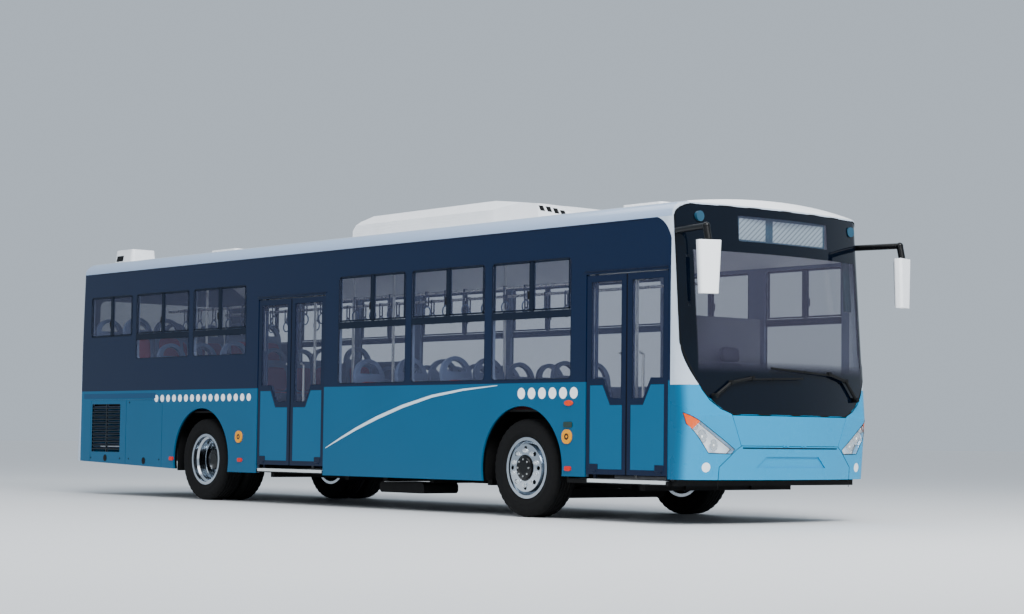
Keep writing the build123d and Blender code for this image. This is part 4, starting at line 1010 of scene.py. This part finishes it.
for x, floor_z, height, places in SEATS:
    for y in places:
        top = floor_z + height + 0.06
        foot = Vector((along(x) - 0.17, y, floor_z + height + 0.01))
        crowned(pads, 0.165, 0.18, 0.018, lambda a, b, c: (along(x) + 0.01 + a, y + b, top - 0.001 + c))
        crowned(pads, 0.15, 0.155, 0.014, lambda a, b, c: leant(c - 0.001, b, 0.24 + a))
pads.make("seat_pads", seat_cloth, "root", "driver_cloth", 60)

# Driver's seat: padded cushion, back with side bolsters and headrest on a plain pedestal
seat_x, seat_y, podium_z = 1.25, 0.64, 0.62
cushion = Form()


def cushion_place(x, y, height):
    """The cushion's points, raised along both sides."""
    return along(seat_x) + x, seat_y + y, podium_z + 0.432 + height + 0.022 * (abs(y) / 0.215) ** 3


crowned(cushion, 0.205, 0.215, 0.072, cushion_place, 12)
driver_cushion = cushion.make("driver_cushion", driver_cloth, "root", "driver_cloth", 70)
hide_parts("driver_seat")
backrest = Form()
foot = Vector((along(seat_x) - 0.17, seat_y, podium_z + 0.45))


def backrest_place(up, y, depth):
    """The backrest's points, with side bolsters and narrower towards the top."""
    bolster = 0.03 * (abs(y) / 0.2) ** 3
    return leant(depth - 0.055 + bolster, y * (1 - 0.25 * max(up, 0.0) / 0.235), 0.245 + up)


crowned(backrest, 0.235, 0.205, 0.062, backrest_place, 12)
backrest.make("driver_backrest", driver_cloth, "root", "driver_cloth", 70)
headrest = Form()
crowned(headrest, 0.075, 0.125, 0.055, lambda a, b, c: leant(c - 0.052, b, 0.56 + a), 10)
headrest.make("driver_headrest", driver_cloth, "root", "driver_cloth", 70)
pedestal = Form()
for low, high, half in ((0.0, 0.05, 0.17), (0.05, 0.13, 0.145), (0.13, 0.21, 0.155), (0.21, 0.29, 0.145),
                        (0.29, 0.37, 0.155), (0.37, 0.434, 0.17)):
    pedestal.box((along(seat_x) - half, along(seat_x) + half), (seat_y - half, seat_y + half),
                 (podium_z + low + 0.0005, podium_z + high))
soften(pedestal.make("driver_pedestal", rubber_black), 0.012, 3)

# Dashboard: instrument hood and dials
hood = Form()
hood.bar([(0.40, 1.215), (0.88, 1.215), (0.86, 1.30), (0.80, 1.335), (0.48, 1.335), (0.42, 1.30)],
         (along(2.055), along(2.16)))
soften(hood.make("instrument_hood", dash_plastic, "root", "dash_plastic"), 0.012, 3)
dials = Form()
for y, radius in ((0.54, 0.05), (0.66, 0.05), (0.77, 0.035)):
    dials.rings([[(along(2.0545 - 0.002 * k), y + radius * cos(a), 1.272 + radius * sin(a) * 0.9)
                  for a in turns(24)] for k in (0, 1)])
dials.make("dials", lamp_glass("dial_face", rgb(210, 222, 230), 1.0, 0.2), "root", "dash_plastic")

# Dark green trim down the inside of the front corner on the driver's side
trim = Form()
TRIM_FACE = [(0.97, 2.02), (1.09, 2.02), (1.09, 2.50), (0.97, 2.50)]
trim.rings([[(nose_x(y, z, depth), y, z) for y, z in TRIM_FACE] for depth in (0.06, 0.09)])
soften(trim.make("corner_trim", Shader("corner_trim", rgb(12, 50, 50)).finish(0.3, 0.5, 4.0)), 0.004)

# Camera at the photograph's place: where it stands, its heading, tilt and roll
camera_place = Vector((axle_x + 15.706, -14.7725, 0.7514))
heading, tilt, roll = radians(139.5562), radians(3.5652), radians(0.6727)
film_width = 36
focal_pixels, photo_width = 2127.14, 1024
ahead = Vector((cos(heading) * cos(tilt), sin(heading) * cos(tilt), sin(tilt)))
level = ahead.cross(Vector((0, 0, 1))).normalized()
upright = level.cross(ahead)
right = level * cos(roll) + upright * sin(roll)
up = upright * cos(roll) - level * sin(roll)
camera_data = bpy.data.cameras.new("camera")
camera_data.sensor_width = film_width
camera_data.lens = film_width * focal_pixels / photo_width
camera_data.clip_end = 400
camera = bpy.data.objects.new("camera", camera_data)
camera.matrix_world = Matrix.Translation(camera_place) @ Matrix((right, up, -ahead)).transposed().to_4x4()
bpy.context.collection.objects.link(camera)
bpy.context.scene.camera = camera

# Floor and soft studio light
bpy.ops.mesh.primitive_plane_add(size=400, location=(0, 0, -0.001))
studio_floor = bpy.context.object
studio_floor.name = "studio_floor"
studio_floor.data.materials.append(Shader("studio_floor", rgb(206, 208, 210)).finish(0.55, 0.7, 0.6))

world = bpy.data.worlds.new("studio")
world.use_nodes = True
world.node_tree.nodes["Background"].inputs["Color"].default_value = rgb(214, 228, 242)
world.node_tree.nodes["Background"].inputs["Strength"].default_value = 0.75
bpy.context.scene.world = world


def soft_light(name, place, target, size, power):
    data = bpy.data.lights.new(name, "AREA")
    data.shape = "RECTANGLE"
    data.size, data.size_y = size
    data.energy = power
    light = bpy.data.objects.new(name, data)
    direction = Vector(target) - Vector(place)
    light.rotation_euler = direction.to_track_quat("-Z", "Y").to_euler()
    light.location = place
    bpy.context.collection.objects.link(light)


soft_light("front_box", (13.5, -3, 11.5), (5, 0, 1.2), (9, 6), 2700)
soft_light("side_box", (2, -16, 11), (0, 0, 1.2), (16, 7), 1000)
soft_light("top_box", (0, 0, 14), (0, 0, 0), (16, 8), 900)
sun_data = bpy.data.lights.new("sun", "SUN")
sun_data.energy = 1.6
sun_data.angle = radians(20)
sun = bpy.data.objects.new("sun", sun_data)
sun.rotation_euler = Vector((-0.75, 0.45, -0.75)).to_track_quat("-Z", "Y").to_euler()
bpy.context.collection.objects.link(sun)
